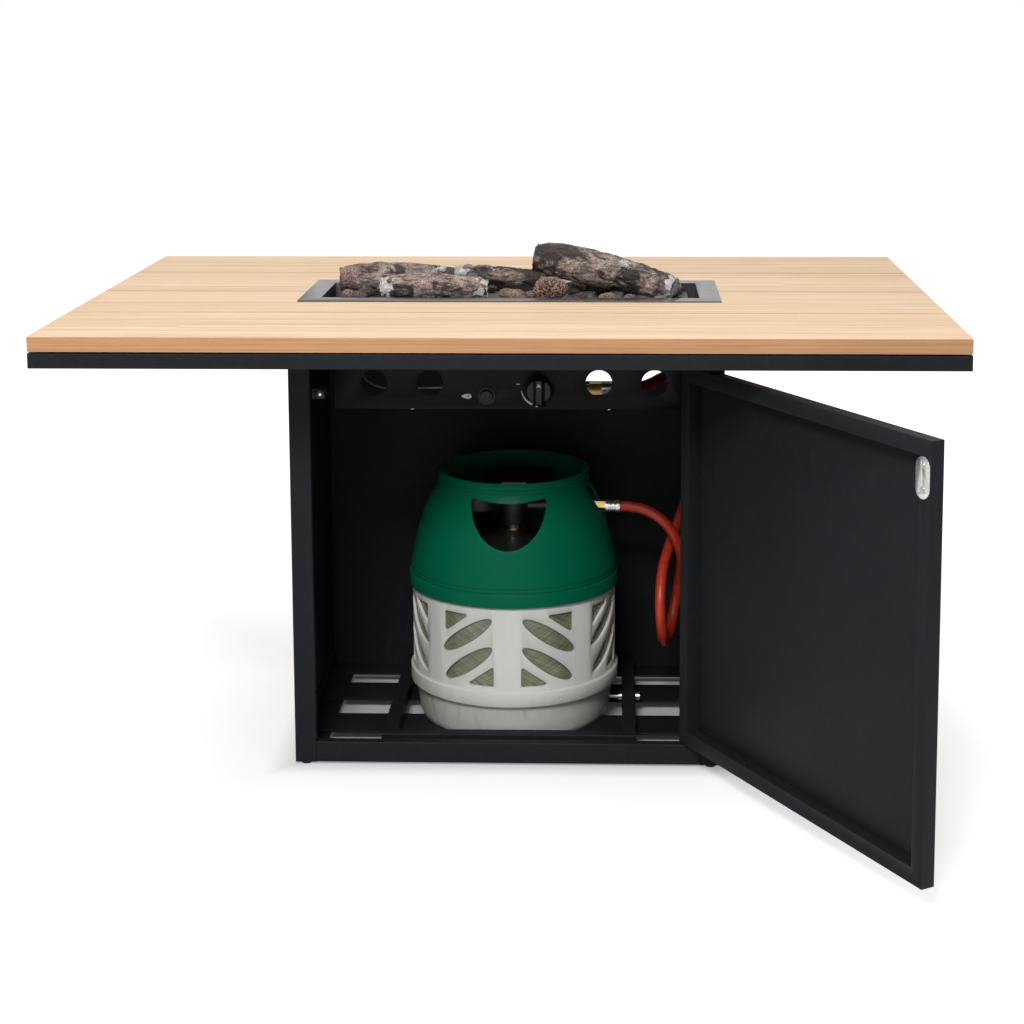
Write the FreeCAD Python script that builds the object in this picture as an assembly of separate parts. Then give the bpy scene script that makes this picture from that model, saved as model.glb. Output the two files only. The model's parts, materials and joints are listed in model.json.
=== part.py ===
"""Gas fire pit table: teak top on a tube frame, steel cabinet with a hinged door, burner and gas bottle.

Millimetres. The origin is the middle of the cabinet's footprint on the floor.
+X runs along the table, +Y away from the door side, +Z up. The door is modelled open.
"""
import FreeCAD, Part
import math
import os

Vec = FreeCAD.Vector
ALONG_X = Vec(1, 0, 0)
ALONG_Y = Vec(0, 1, 0)
UP = Vec(0, 0, 1)
DOWN = Vec(0, 0, -1)
FORWARD = Vec(0, -1, 0)

# Table top
top_length = 1200.0
top_width = 800.0
board_count = 4
board_height = 22.0
board_seam = 1.0
board_round = 2.0
shadow_gap = 2.0
shadow_depth = 12.0
frame_height = 20.0
frame_width = 25.0
tube_wall = 1.5
board_screw_radius = 2.4
board_screw_head = 4.5
board_screw_head_height = 2.5
board_screw_bite = 14.0
bolt_radius = 4.0
bolt_head = 6.5
bolt_head_height = 5.0
bolt_access = 7.5
bolt_bite = 10.0

# Cabinet
glide_height = 3.0
glide_radius = 7.0
glide_neck = 5.5
glide_stem = 4.0
glide_stem_length = 9.0
cabinet_length = 600.0
cabinet_width = 400.0
cabinet_height = 600.0
post_face = 30.0
post_depth = 15.0
tube_round = 2.0
plug_height = 12.0
sheet = 1.5
back_vent_drop = 127.0
back_vent_length = 180.0
back_vent_height = 84.0
back_vent_inset = 50.0
back_vent_round = 6.0
sheet_margin = 1.5

# Floor of the cabinet
ledge_reach = 36.0
ledge_rise = 25.0
plate_steel = 3.0
ledge_level = 9.0
bearer_half = 15.0
slat_places = ((-111.0, -38.0), (23.0, 96.0))
rear_slat_front = 138.0
ring_bar = 20.0
ring_front = -172.0
ring_half = 181.0
ring_back = 165.0
locator_y = 8.0
locator_rise = 13.0
locator_radius = 3.0
locator_head = 6.0
locator_head_length = 7.0
locator_nut = 5.5
locator_nut_length = 5.0

# Door
door_gap = 2.0
door_rim = 20.0
door_depth = 18.5
skin_inset = 1.5
door_open_angle = 120.0
pivot_inset = 10.0
pivot_depth = 6.0
pin_radius = 2.5
pin_reach = 8.0
bush_wall = 1.2
bush_flange = 5.0
bush_end = 2.0
strike_width = 25.0
strike_length = 50.0
strike_edge = 13.6
strike_drop = 45.0
strike_screw_pitch = 28.0
strike_screw = 1.7
strike_screw_head = 3.4
strike_screw_head_height = 1.0
strike_screw_length = 8.0
latch_inset = 11.0
latch_stroke = 4.0
latch_disc = 6.25
latch_disc_thickness = 2.0
latch_rod = 4.0
latch_body_length = 36.0
latch_body_height = 15.0
latch_end_wall = 8.0
latch_plate = 11.0
latch_lap = 1.0

# Burner
flange_width = 210.0
flange_border = 30.0
flange_thickness = 2.0
tray_depth = 62.0
tray_notch_clearance = 3.0
drain_x = 150.0
drain_y = 55.0
drain_radius = 5.0
media_drop = 12.0
media_left_gap = 18.0
media_right_gap = 13.0
media_half_width = 71.0
media_sheet = 2.0
slot_count = 11
slot_length = 30.0
slot_width = 5.0
slot_row = 40.0
burner_end_gap = 70.0
burner_radius = 11.0
burner_wall = 1.5
burner_level = 17.0
burner_ports = 12
port_radius = 1.2
stub_radius = 7.0
stub_drop = 7.0
seat_rim = 5.0
seat_height = 4.0
electrode_inset = 36.0
electrode_y = 12.0
electrode_body = 3.5
electrode_drop = 10.0
electrode_rise = 30.0
electrode_tip = 1.2
probe_y = -14.0
probe_body = 3.0
probe_drop = 4.0
probe_rise = 28.0
probe_tip = 1.6
tip_gap = 1.0
tip_hole = 5.0
collar_rim = 2.5
collar_height = 3.0

# Logs and rocks, across as a share of the tray opening's half length, and up from the media plate
log_seat = 0.3
rear_left_sections = ((-0.9556, 44, 17), (-0.7593, 42, 20), (-0.5556, 40, 19.5), (-0.4074, 42, 18),
                      (-0.2593, 45, 16))
front_left_sections = ((-0.7037, -24, 15), (-0.5556, -28, 18), (-0.4074, -30, 18.5), (-0.2593, -30, 17),
                       (-0.1259, -28, 15))
middle_sections = ((-0.3185, 29, 40.7, 10.5), (-0.1852, 26, 37.9, 11.5), (-0.0556, 24, 33.6, 12),
                   (0.0741, 21, 29.4, 12), (0.2, 19, 26.6, 11))
right_sections = ((0.1185, 22, 61.9, 19), (0.2593, 18, 57.9, 22), (0.4444, 8, 47.8, 21.5),
                  (0.6111, -2, 35.8, 21), (0.7593, -14, 24.4, 19.5), (0.8741, -26, 15.8, 16))
rock_places = (
    (0.2074, -36, 25, 0.72), (0.0222, -46, 19, 0.6), (0.3704, -52, 14, 0.6), (0.5185, -52, 15, 0.6),
    (0.637, -50, 12, 0.6), (-0.8222, -44, 17, 0.55), (-0.8889, -12, 11, 0.7), (-0.8, 4, 14, 0.6),
    (-0.0296, -6, 14, 0.6), (0.1111, -10, 12, 0.6), (0.1556, 24, 13, 0.6), (0.3407, 50, 17, 0.6),
    (0.4889, 48, 19, 0.7), (0.637, 40, 16, 0.6), (0.763, 30, 14, 0.6), (0.8741, 14, 13, 0.6),
    (0.8815, 52, 14, 0.7), (-0.1259, 60, 9, 0.6), (-0.3333, 12, 9, 0.6), (-0.4815, 6, 8, 0.7),
    (0.7556, 56, 11, 0.6), (-0.6519, 8, 10, 0.7), (-0.7407, -60, 9, 0.6), (-0.0741, -60, 8, 0.7),
    (0.7926, -56, 11, 0.6))

# Control panel and gas valve
panel_end_gap = 16.0
panel_front = -70.0
panel_height = 97.5
panel_return = 15.0
vent_radius = 19.0
vent_drop = 59.1
vent_shares = (-0.7756, -0.4567, 0.5, 0.815)
knob_x = 41.4
knob_drop = 68.2
knob_radius = 20.5
knob_stroke = 4.0
knob_base = 12.0
knob_round = 1.5
knob_grip = 12.0
knob_grip_width = 18.0
knob_grip_inset = 0.5
knob_lap = 2.0
knob_stand_off = 5.0
stem_radius = 4.0
stem_grip = 6.0
stem_depth = 14.0
stem_hole_gap = 1.0
valve_half = 18.0
valve_depth = 30.0
boss_length = 6.0
boss_radius = 11.0
igniter_x = -34.7
igniter_drop = 78.3
igniter_radius = 12.8
igniter_bezel = 2.0
igniter_neck = 11.0
igniter_bore = 9.3
igniter_depth = 18.0
igniter_stand = 7.0
igniter_stroke = 4.0
igniter_length = 34.0
button_round = 1.2
bracket_half_length = 150.0
bracket_sheet = 2.0
bracket_inset = 1.0
saddle_half = 12.0
bracket_screw_places = (-143.0, 142.0)
bracket_screw = 2.0
bracket_screw_head = 3.4
bracket_screw_head_height = 2.0
bracket_screw_length = 6.0
bracket_screw_back = 9.5
supply_radius = 4.0
lead_radius = 1.6
lead_run = 18.0
lead_end_run = 25.5
capillary_radius = 1.2
capillary_inset = 10.0
capillary_rise = 8.0
capillary_turn = 52.0
# Bends of the leads: share of the way along the cabinet, setback and rise, from where the lead starts
capillary_bends = ((0.2075, 36, 26), (0.394, 46, 44), (0.596, 42, 50), (0.798, 26, 48))
capillary_end = (0.946, 8, 38)
ignition_bends = ((0.157, 24, 0.8), (0.388, 16, 2.8), (0.609, 8, 1.8), (0.809, 8, 2.8), (0.95, 26, 16.8))

# Gas bottle
bottle_turn = -1.0
foot_radius = 138.0
foot_lip = 8.0
foot_flare = 3.0
belt_step = 6.5
belt_low = 68.0
belt_high = 87.0
belt_slope = 1.5
belt_radius = 154.5
jacket_radius = 150.5
jacket_wall = 4.0
jacket_top = 213.0
window_top = 210.0
window_sectors = 8
window_half_angle = 15.0
window_leaves = ((-3, 42, 47.5, 11.5, 34), (-1, 83.5, 46, 11.5, 34.8))
upper_wedge_top = 10.0
upper_wedge_low = 41.5
window_rib = 4.0
lower_wedge_top = 83.5
lower_wedge_low = 114.0
lower_wedge_reach = 42.0
wedge_round = 2.5
cutter_start = 125.0
cutter_depth = 40.0
vessel_gap = 0.3
vessel_wall = 6.0
vessel_low = 26.0
vessel_shoulder = 214.0
vessel_bottom = ((0.48, 4), (0.787, 18), (0.959, 42), (1.0, 56))
vessel_dome = ((1.0, 0), (0.9316, 26), (0.7524, 46), (0.4788, 60))
neck_rise = 68.0
neck_radius = 24.0
neck_top = 292.0
cover_wall = 4.0
cover_band = 18.0
cover_band_top = 234.0
cover_band_step = 2.0
cover_foot_step = 4.0
cover_shoulder = 241.0
cover_shoulder_round = 4.0
cover_knee = 289.0
cover_knee_radius = 141.0
cover_neck = 335.0
cover_neck_radius = 128.0
rim_low = 365.0
rim_radius = 111.5
rim_top = 383.0
rim_step = 2.0
rim_groove = 1.0
rim_groove_rise = 7.0
hand_hole_half = 54.0
hand_hole_drop = 61.0
hand_hole_top = 352.0
hose_hole_half = 34.0
hose_hole_drop = 42.0
bowl_start = 86.5
bowl_depth = 90.0
bowl_round = 6.0
valve_thread = 12.6
valve_bite = 20.0
valve_collar = 19.0
valve_collar_height = 8.0
valve_spigot = 13.5
spigot_height = 14.0

# Regulator and hose
cup_radius = 22.0
housing_radius = 36.0
housing_x = -56.0
housing_y = -10.0
housing_drop = 18.0
housing_height = 26.0
housing_round = 5.0
regulator_top = 340.0
pipe_radius = 6.5
dial_radius = 19.0
dial_height = 10.0
dial_grip_half = 4.0
dial_grip_height = 8.0
hose_radius = 7.75
outlet_level = 323.5
nut_radius = 9.5
nut_length = 18.0
ferrule_radius = 9.0
ferrule_length = 21.0
hose_start_x = 157.2
hose_end_x = 152.0
inlet_y = -36.0
inlet_drop = 73.5
inlet_offset = 2.0
hose_loop = ((187, 0, 0), (226, -6, -21.5), (247, -2, -59.5), (251, 22, -95.5), (247, 50, -127.5),
             (241, 56, -169.5), (233, 28, -202.5), (225, -18, -205.5), (219, -49, -176.5),
             (216, -48, -129.5), (220, -16, -91.5), (232, 24, -63.5), (250, 58, -25.5), (269, 84, 18.5))
hose_climb = ((281, 97, -116), (280, 96, -66), (266, 76, -22), (242, 46, 4), (222, 10, 10), (204, -20, 5),
              (180, inlet_y, 0))

# Clearances, and how far a cutter runs past what it cuts
running = 0.05
loose = 0.3
screw_play = 0.1
over = 1.0

# Levels and faces that follow from the sizes above
base_top = glide_height + cabinet_height
boards_low = base_top + frame_height
boards_top = boards_low + board_height
half_length = top_length / 2
half_width = top_width / 2
cab_x = cabinet_length / 2
cab_y = cabinet_width / 2
post_in = cab_x - post_face
post_back = cab_y - post_depth
rail_low_top = glide_height + post_face
rail_high_bottom = base_top - post_face
back_vent_low = base_top - back_vent_drop
cross_x = cab_x - frame_width / 2
bolt_y = cab_y - post_depth / 2
slat_low = ledge_level + plate_steel
slat_top = slat_low + plate_steel
side_inner = cab_x - sheet
back_inner = post_back - sheet
locator_level = slat_top + locator_rise

flange_half_length = cab_x
flange_half_width = flange_width / 2
opening_half = flange_half_length - flange_border
opening_deep = flange_half_width - flange_border
tray_out_x = opening_half + sheet
tray_out_y = opening_deep + sheet
flange_top = boards_top + flange_thickness
tray_floor = flange_top - tray_depth - flange_thickness
tray_under = tray_floor - sheet
plate_top = flange_top - media_drop
media_left = media_left_gap - opening_half
media_right = opening_half - media_right_gap
burner_half_length = opening_half - burner_end_gap
electrode_x = electrode_inset - opening_half

panel_half_length = post_in - panel_end_gap
panel_back = panel_front + sheet
panel_bottom = tray_under - panel_height
vent_level = tray_under - vent_drop
knob_level = tray_under - knob_drop
knob_back = panel_front - knob_stand_off
stem_tip = knob_back - stem_grip
igniter_level = tray_under - igniter_drop
inlet_level = tray_under - inlet_drop
bracket_screw_y = panel_front + bracket_screw_back

door_x = post_in - door_gap
door_low = rail_low_top + door_gap
door_high = rail_high_bottom - door_gap
door_front = -cab_y + sheet
door_back = door_front + door_depth
pivot_x = door_x - pivot_inset
pivot_y = -cab_y + pivot_depth
bush_radius = pin_radius + running + bush_wall
strike_x = -door_x + strike_edge
strike_front = door_back + sheet
strike_level = door_high - strike_drop
latch_x = latch_inset - post_in
latch_face = strike_front + loose
latch_front = latch_face + latch_disc_thickness + latch_stroke + loose
latch_bore_end = latch_body_length - latch_end_wall


def box(x0, x1, y0, y1, z0, z1):
    """A block between two corners."""
    return Part.makeBox(x1 - x0, y1 - y0, z1 - z0, Vec(x0, y0, z0))


def rod(start, direction, radius, length):
    """A round bar."""
    return Part.makeCylinder(radius, length, start, direction)


def fuse(shapes):
    """One solid out of pieces that touch or overlap."""
    result = shapes[0]
    for shape in shapes[1:]:
        result = result.fuse(shape)
    return result.removeSplitter()


def group(shapes):
    """Separate solids that share one node."""
    return Part.makeCompound(shapes)


def edges_along(shape, direction):
    """The straight edges that run in one direction."""
    found = []
    for edge in shape.Edges:
        if edge.Curve.TypeId != "Part::GeomLine":
            continue
        if abs(abs(edge.tangentAt(edge.FirstParameter).dot(direction)) - 1.0) < 1e-6:
            found.append(edge)
    return found


def rounded_box(corners, direction, radius):
    """A block whose edges along one direction are rounded."""
    block = box(*corners)
    return block.makeFillet(radius, edges_along(block, direction))


def rect_tube(corners, direction):
    """A rectangular tube, open at both ends."""
    x0, x1, y0, y1, z0, z1 = corners
    wx = 0.0 if direction == ALONG_X else tube_wall
    wy = 0.0 if direction == ALONG_Y else tube_wall
    wz = 0.0 if direction == UP else tube_wall
    hollow = box(x0 + wx, x1 - wx, y0 + wy, y1 - wy, z0 + wz, z1 - wz)
    return rounded_box(corners, direction, tube_round).cut(hollow)


def turned(points):
    """A solid of revolution about the vertical through the origin, from (radius, height) points."""
    corners = [Vec(r, 0, z) for r, z in points]
    wire = Part.makePolygon(corners + [corners[0]])
    return Part.Face(wire).revolve(Vec(0, 0, 0), UP, 360)


def bent_path(points):
    """Straight runs joined by tangent arcs, each as large as its two runs allow."""
    edges = []
    radii = []
    last = points[0]
    for before, corner, after in zip(points, points[1:], points[2:]):
        one = corner - before
        two = after - corner
        cut = 0.45 * min(one.Length, two.Length)
        turn = one.getAngle(two)
        one.normalize()
        two.normalize()
        start = corner - one * cut
        end = corner + two * cut
        radius = cut / math.tan(turn / 2)
        inward = two - one
        inward.normalize()
        middle = corner + inward * (radius / math.cos(turn / 2) - radius)
        edges.append(Part.LineSegment(last, start).toShape())
        edges.append(Part.Arc(start, middle, end).toShape())
        radii.append(radius)
        last = end
    edges.append(Part.LineSegment(last, points[-1]).toShape())
    return Part.Wire(edges), radii


def bent_tube(points, radius, name):
    """A round solid along a bent path, with its radii and volume printed."""
    path, radii = bent_path(points)
    heading = points[1] - points[0]
    section = Part.Wire(Part.makeCircle(radius, points[0], heading))
    shell = path.makePipeShell([section], True, False)
    expected = math.pi * radius * radius * path.Length
    print(name, "length %.0f" % path.Length, "volume share %.4f" % (shell.Volume / expected))
    print("  radii", " ".join("%.0f" % value for value in radii))
    return shell


def route(places):
    """A hand-chosen route as vectors."""
    return [Vec(x, y, z) for x, y, z in places]


def swing_door(shape):
    """Turn a piece of the closed door about the hinge to where it stands open."""
    placed = shape.copy()
    placed.rotate(Vec(pivot_x, pivot_y, 0), UP, door_open_angle)
    return placed


def turn_bottle(shape):
    """Turn a piece of the gas bottle about its own axis."""
    placed = shape.copy()
    placed.rotate(Vec(0, 0, 0), UP, bottle_turn)
    return placed


def mirrored_x(places):
    """Each place and its mirror image left of the middle."""
    return [sign * place for place in places for sign in (-1, 1)]


def circles_at(shape, y):
    """The round edges in one plane across Y."""
    circles = [e for e in shape.Edges if e.Curve.TypeId == "Part::GeomCircle"]
    return [e for e in circles if abs(e.CenterOfMass.y - y) < 0.01]


def board(index):
    """One teak board; the two middle ones are notched around the burner tray."""
    pitch = top_width / board_count
    low = -half_width + index * pitch
    high = low + pitch
    front = low + (board_seam / 2 if index > 0 else 0.0)
    back = high - (board_seam / 2 if index < board_count - 1 else 0.0)
    plank = box(-half_length, half_length, front, back, boards_low, boards_top)
    plank = plank.makeFillet(board_round, [e for e in edges_along(plank, ALONG_X)
                                           if e.CenterOfMass.z > boards_top - over])
    inner = box(-half_length + shadow_depth, half_length - shadow_depth,
                -half_width + shadow_depth, half_width - shadow_depth, 0, boards_low + shadow_gap)
    rim = box(-top_length, top_length, -top_width, top_width, 0, boards_low + shadow_gap).cut(inner)
    notch_x = tray_out_x + tray_notch_clearance
    notch_y = tray_out_y + tray_notch_clearance
    notch = box(-notch_x, notch_x, -notch_y, notch_y, boards_low - over, boards_top + over)
    plank = plank.cut(rim).cut(notch)
    for x, y in screw_places():
        if front < y < back:
            plank = plank.cut(rod(Vec(x, y, boards_low - over), UP, board_screw_radius,
                                  board_screw_bite + over))
    return plank


def screw_places():
    """Where the boards are screwed to the end tubes and the cross rails."""
    pitch = top_width / board_count
    end_x = half_length - frame_width / 2
    places = []
    for index in range(board_count):
        middle = -half_width + (index + 0.5) * pitch
        for x in (-end_x, -cross_x, cross_x, end_x):
            for side in (-1, 1):
                places.append((x, middle + side * pitch / 4))
    return places


def board_screws():
    """Screws that rise through the tubes into the boards."""
    screws = []
    for x, y in screw_places():
        head = rod(Vec(x, y, base_top - board_screw_head_height), UP, board_screw_head,
                   board_screw_head_height)
        shank = rod(Vec(x, y, base_top), UP, board_screw_radius - screw_play,
                    frame_height + board_screw_bite - over)
        screws.append(fuse([head, shank]))
    return group(screws)


def top_long_tube(side):
    """Front or rear tube of the top frame."""
    near = side * half_width
    far = side * (half_width - frame_width)
    return rect_tube((-half_length, half_length, min(near, far), max(near, far), base_top, boards_low),
                     ALONG_X)


def top_cross_tubes():
    """End tubes and cross rails between the two long tubes."""
    tubes = []
    reach = half_width - frame_width
    for middle in mirrored_x((half_length - frame_width / 2, cross_x)):
        tube = rect_tube((middle - frame_width / 2, middle + frame_width / 2, -reach, reach,
                          base_top, boards_low), ALONG_Y)
        for x, y in screw_places():
            if abs(x - middle) < frame_width / 2:
                tube = tube.cut(rod(Vec(x, y, base_top - over), UP, board_screw_radius,
                                    frame_height + 2 * over))
        if abs(middle) < cab_x:
            for y in (-bolt_y, bolt_y):
                tube = tube.cut(rod(Vec(middle, y, base_top - over), UP, bolt_radius + screw_play,
                                    frame_height))
                tube = tube.cut(rod(Vec(middle, y, base_top + tube_wall), UP, bolt_access, frame_height))
        tubes.append(tube)
    return group(tubes)


def cabinet_bolts():
    """Bolts that hold the top frame on the four posts."""
    bolts = []
    for x in (-cross_x, cross_x):
        for y in (-bolt_y, bolt_y):
            head = rod(Vec(x, y, base_top + tube_wall), UP, bolt_head, bolt_head_height)
            shank = rod(Vec(x, y, base_top - bolt_bite), UP, bolt_radius, bolt_bite + tube_wall)
            bolts.append(fuse([head, shank]))
    return group(bolts)


def post(side_x, side_y):
    """Corner post with a plug at each end, drilled for its bolt and its glide."""
    x0, x1 = sorted((side_x * post_in, side_x * cab_x))
    y0, y1 = sorted((side_y * post_back, side_y * cab_y))
    body = rounded_box((x0, x1, y0, y1, glide_height, base_top), UP, tube_round)
    hollow = box(x0 + tube_wall, x1 - tube_wall, y0 + tube_wall, y1 - tube_wall,
                 glide_height + plug_height, base_top - plug_height)
    body = body.cut(hollow)
    middle_y = (y0 + y1) / 2
    body = body.cut(rod(Vec(side_x * cross_x, middle_y, base_top - plug_height - over), UP,
                        bolt_radius + screw_play, plug_height + 2 * over))
    return body.cut(rod(Vec((x0 + x1) / 2, middle_y, glide_height - over), UP,
                        glide_stem + running, plug_height + 2 * over))


def foot_glides():
    """Plastic glides pressed into the four posts, and one under the middle of the floor's bearer."""
    disc = rod(Vec(0, 0, 0), UP, glide_radius, glide_height)
    neck = rod(Vec(0, 0, glide_height), UP, glide_neck, ledge_level - glide_height)
    stem = rod(Vec(0, 0, ledge_level), UP, glide_stem, plate_steel)
    glides = [fuse([disc, neck, stem])]
    for side_x in (-1, 1):
        for y in (-bolt_y, bolt_y):
            x = side_x * (cab_x - post_face / 2)
            disc = rod(Vec(x, y, 0), UP, glide_radius, glide_height)
            stem = rod(Vec(x, y, glide_height), UP, glide_stem, glide_stem_length)
            glides.append(fuse([disc, stem]))
    return group(glides)


def front_rail(low):
    """Rail between the front posts, drilled for its hinge pin."""
    high = low + post_face
    rail = rect_tube((-post_in, post_in, -cab_y, -post_back, low, high), ALONG_X)
    drill = glide_height + tube_wall if low == glide_height else low - over
    return rail.cut(rod(Vec(pivot_x, pivot_y, drill), UP, pin_radius + running,
                        post_face - tube_wall + over))


def rear_rails():
    """Top and bottom rail between the rear posts."""
    rails = []
    for low in (glide_height, rail_high_bottom):
        rails.append(rect_tube((-post_in, post_in, post_back, cab_y, low, low + post_face), ALONG_X))
    return group(rails)


def side_panel(side):
    """Flush side sheet between a front and a rear post."""
    x0, x1 = sorted((side * side_inner, side * cab_x))
    return box(x0, x1, -post_back, post_back, glide_height, base_top)


def back_panel():
    """Back sheet inside the rear frame, with one air gap above the gas bottle's hose."""
    reach = side_inner - sheet_margin
    sheet_whole = box(-reach, reach, back_inner, post_back, slat_low, base_top - sheet_margin)
    gap_end = cab_x - back_vent_inset
    gap = box(gap_end - back_vent_length, gap_end, back_inner - over, post_back + over, back_vent_low,
              back_vent_low + back_vent_height)
    corners = [e for e in gap.Edges if abs(e.Length - sheet - 2 * over) < 1e-6]
    return sheet_whole.cut(gap.makeFillet(back_vent_round, corners))


def floor_ledge(side):
    """Angle along one side panel that carries the slats."""
    outer = side * side_inner
    foot = box(*sorted((outer, outer - side * ledge_reach)), -post_back, back_inner, ledge_level, slat_low)
    wall = box(*sorted((outer, outer - side * plate_steel)), -post_back, back_inner, slat_low,
               slat_low + ledge_rise)
    return fuse([foot, wall])


def floor_bearer():
    """Flat bar from the front to the rear rail, under the slats and the middle of the gas bottle."""
    bar = box(-bearer_half, bearer_half, -post_back, post_back, ledge_level, slat_low)
    return bar.cut(rod(Vec(0, 0, ledge_level - over), UP, glide_stem + running, plate_steel + 2 * over))


def floor_slats():
    """Three steel slats laid on the ledges."""
    reach = side_inner - plate_steel - sheet_margin
    slats = [box(-reach, reach, y0, y1, slat_low, slat_top) for y0, y1 in slat_places]
    slats.append(box(-reach, reach, rear_slat_front, back_inner - loose, slat_low, slat_top))
    return group(slats)


def bottle_ring():
    """Square tube frame that keeps the gas bottle in its place."""
    low = slat_top
    high = slat_top + ring_bar
    front = rect_tube((-ring_half, ring_half, ring_front, ring_front + ring_bar, low, high), ALONG_X)
    pieces = [front]
    for side in (-1, 1):
        x0, x1 = sorted((side * ring_half, side * (ring_half - ring_bar)))
        pieces.append(rect_tube((x0, x1, ring_front + ring_bar, ring_back, low, high), ALONG_Y))
    hole = rod(Vec(ring_half - ring_bar - over, locator_y, locator_level), ALONG_X,
               locator_radius + screw_play, ring_bar + 2 * over)
    return fuse(pieces).cut(hole)


def foot_reach(level):
    """Radius of the bottle's tapered foot at a height."""
    low = slat_top + foot_lip
    share = (level - low) / (belt_low - low)
    return foot_radius + foot_flare + share * (belt_radius - belt_step - foot_radius - foot_flare)


def bottle_locator():
    """Bolt through the ring's right arm that centres the bottle's foot."""
    tip = foot_reach(locator_level + locator_radius) + loose
    shank = rod(Vec(tip, locator_y, locator_level), ALONG_X, locator_radius, ring_half - tip)
    head = rod(Vec(ring_half, locator_y, locator_level), ALONG_X, locator_head, locator_head_length)
    nut_x = ring_half - ring_bar - locator_nut_length
    nut = rod(Vec(nut_x, locator_y, locator_level), ALONG_X, locator_nut, locator_nut_length)
    return fuse([shank, head, nut])


def door_frame():
    """Welded frame of the door: hollow rim with seats for the bushes and the strike plate's screws."""
    outer = box(-door_x, door_x, door_front, door_back, door_low, door_high)
    window = box(-door_x + door_rim, door_x - door_rim, door_front - over, door_back + over,
                 door_low + door_rim, door_high - door_rim)
    hollow_outer = box(-door_x + tube_wall, door_x - tube_wall, door_front + tube_wall,
                       door_back - tube_wall,
                       door_low + tube_wall, door_high - tube_wall)
    web = door_rim - tube_wall
    hollow_inner = box(-door_x + web, door_x - web, door_front, door_back, door_low + web, door_high - web)
    frame = outer.cut(window).cut(hollow_outer.cut(hollow_inner))
    for low in (door_low - over, door_high - pin_reach - bush_end):
        frame = frame.cut(rod(Vec(pivot_x, pivot_y, low), UP, bush_radius + running,
                              pin_reach + bush_end + over))
    for level in strike_levels():
        frame = frame.cut(rod(Vec(strike_x, door_back - tube_wall - over, level), ALONG_Y,
                              strike_screw + screw_play, tube_wall + 2 * over))
    return swing_door(frame)


def strike_levels():
    """Heights of the two screws of the strike plate."""
    return (strike_level - strike_screw_pitch / 2, strike_level + strike_screw_pitch / 2)


def door_skin():
    """Outer sheet of the door."""
    reach = door_x - skin_inset
    skin = box(-reach, reach, -cab_y, door_front, door_low + skin_inset, door_high - skin_inset)
    return swing_door(skin)


def hinge_pins():
    """Lower and upper hinge pin, held in the two front rails."""
    pins = []
    low = glide_height + tube_wall
    pins.append(rod(Vec(pivot_x, pivot_y, low), UP, pin_radius, door_low + pin_reach - low))
    high = base_top - tube_wall
    pins.append(rod(Vec(pivot_x, pivot_y, door_high - pin_reach), UP, pin_radius,
                    high - door_high + pin_reach))
    return group(pins)


def hinge_bushes():
    """Flanged bushes in the door that turn on the pins."""
    bushes = []
    flange = door_gap - loose
    for start, direction in ((door_low, UP), (door_high, DOWN)):
        root = Vec(pivot_x, pivot_y, start)
        barrel = rod(root, direction, bush_radius, pin_reach + bush_end - bush_wall)
        collar = rod(root - direction * flange, direction, bush_flange, flange)
        bore = rod(root - direction * (flange + over), direction, pin_radius + running,
                   flange + over + pin_reach + loose)
        bushes.append(swing_door(fuse([barrel, collar]).cut(bore)))
    return group(bushes)


def strike_plate():
    """Oval steel plate on the free rim that the touch latch holds."""
    half = strike_width / 2
    straight = strike_length / 2 - half
    plate = box(strike_x - half, strike_x + half, door_back, strike_front,
                strike_level - straight, strike_level + straight)
    for level in (strike_level - straight, strike_level + straight):
        plate = plate.fuse(rod(Vec(strike_x, door_back, level), ALONG_Y, half, sheet))
    plate = plate.removeSplitter()
    for level in strike_levels():
        plate = plate.cut(rod(Vec(strike_x, door_back - over, level), ALONG_Y,
                              strike_screw + screw_play, sheet + 2 * over))
    return swing_door(plate)


def strike_screws():
    """Two screws that hold the strike plate."""
    screws = []
    for level in strike_levels():
        head = rod(Vec(strike_x, strike_front, level), ALONG_Y, strike_screw_head, strike_screw_head_height)
        shank = rod(Vec(strike_x, strike_front - strike_screw_length, level), ALONG_Y,
                    strike_screw, strike_screw_length)
        screws.append(swing_door(fuse([head, shank])))
    return group(screws)


def touch_latch_body():
    """Push latch housing behind the left front post."""
    z0 = strike_level - latch_body_height / 2
    z1 = strike_level + latch_body_height / 2
    plate = box(-side_inner + loose, -post_in - latch_lap, -post_back, -post_back + latch_plate, z0, z1)
    housing = box(-side_inner + loose, latch_x + latch_disc + loose, latch_front,
                  latch_front + latch_body_length,
                  z0, z1)
    bridge = box(-side_inner + loose, -post_in - latch_lap, -post_back, latch_front + latch_lap, z0, z1)
    body = fuse([plate, bridge, housing])
    bore = rod(Vec(latch_x, latch_front - over, strike_level), ALONG_Y, latch_rod + loose,
               latch_bore_end + over)
    return body.cut(bore)


def touch_latch_plunger():
    """Plunger with a magnet disc that catches the strike plate."""
    disc = rod(Vec(latch_x, latch_face, strike_level), ALONG_Y, latch_disc, latch_disc_thickness)
    reach = latch_front + latch_bore_end - latch_stroke - loose - latch_face
    return fuse([disc, rod(Vec(latch_x, latch_face, strike_level), ALONG_Y, latch_rod, reach)])


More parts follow.
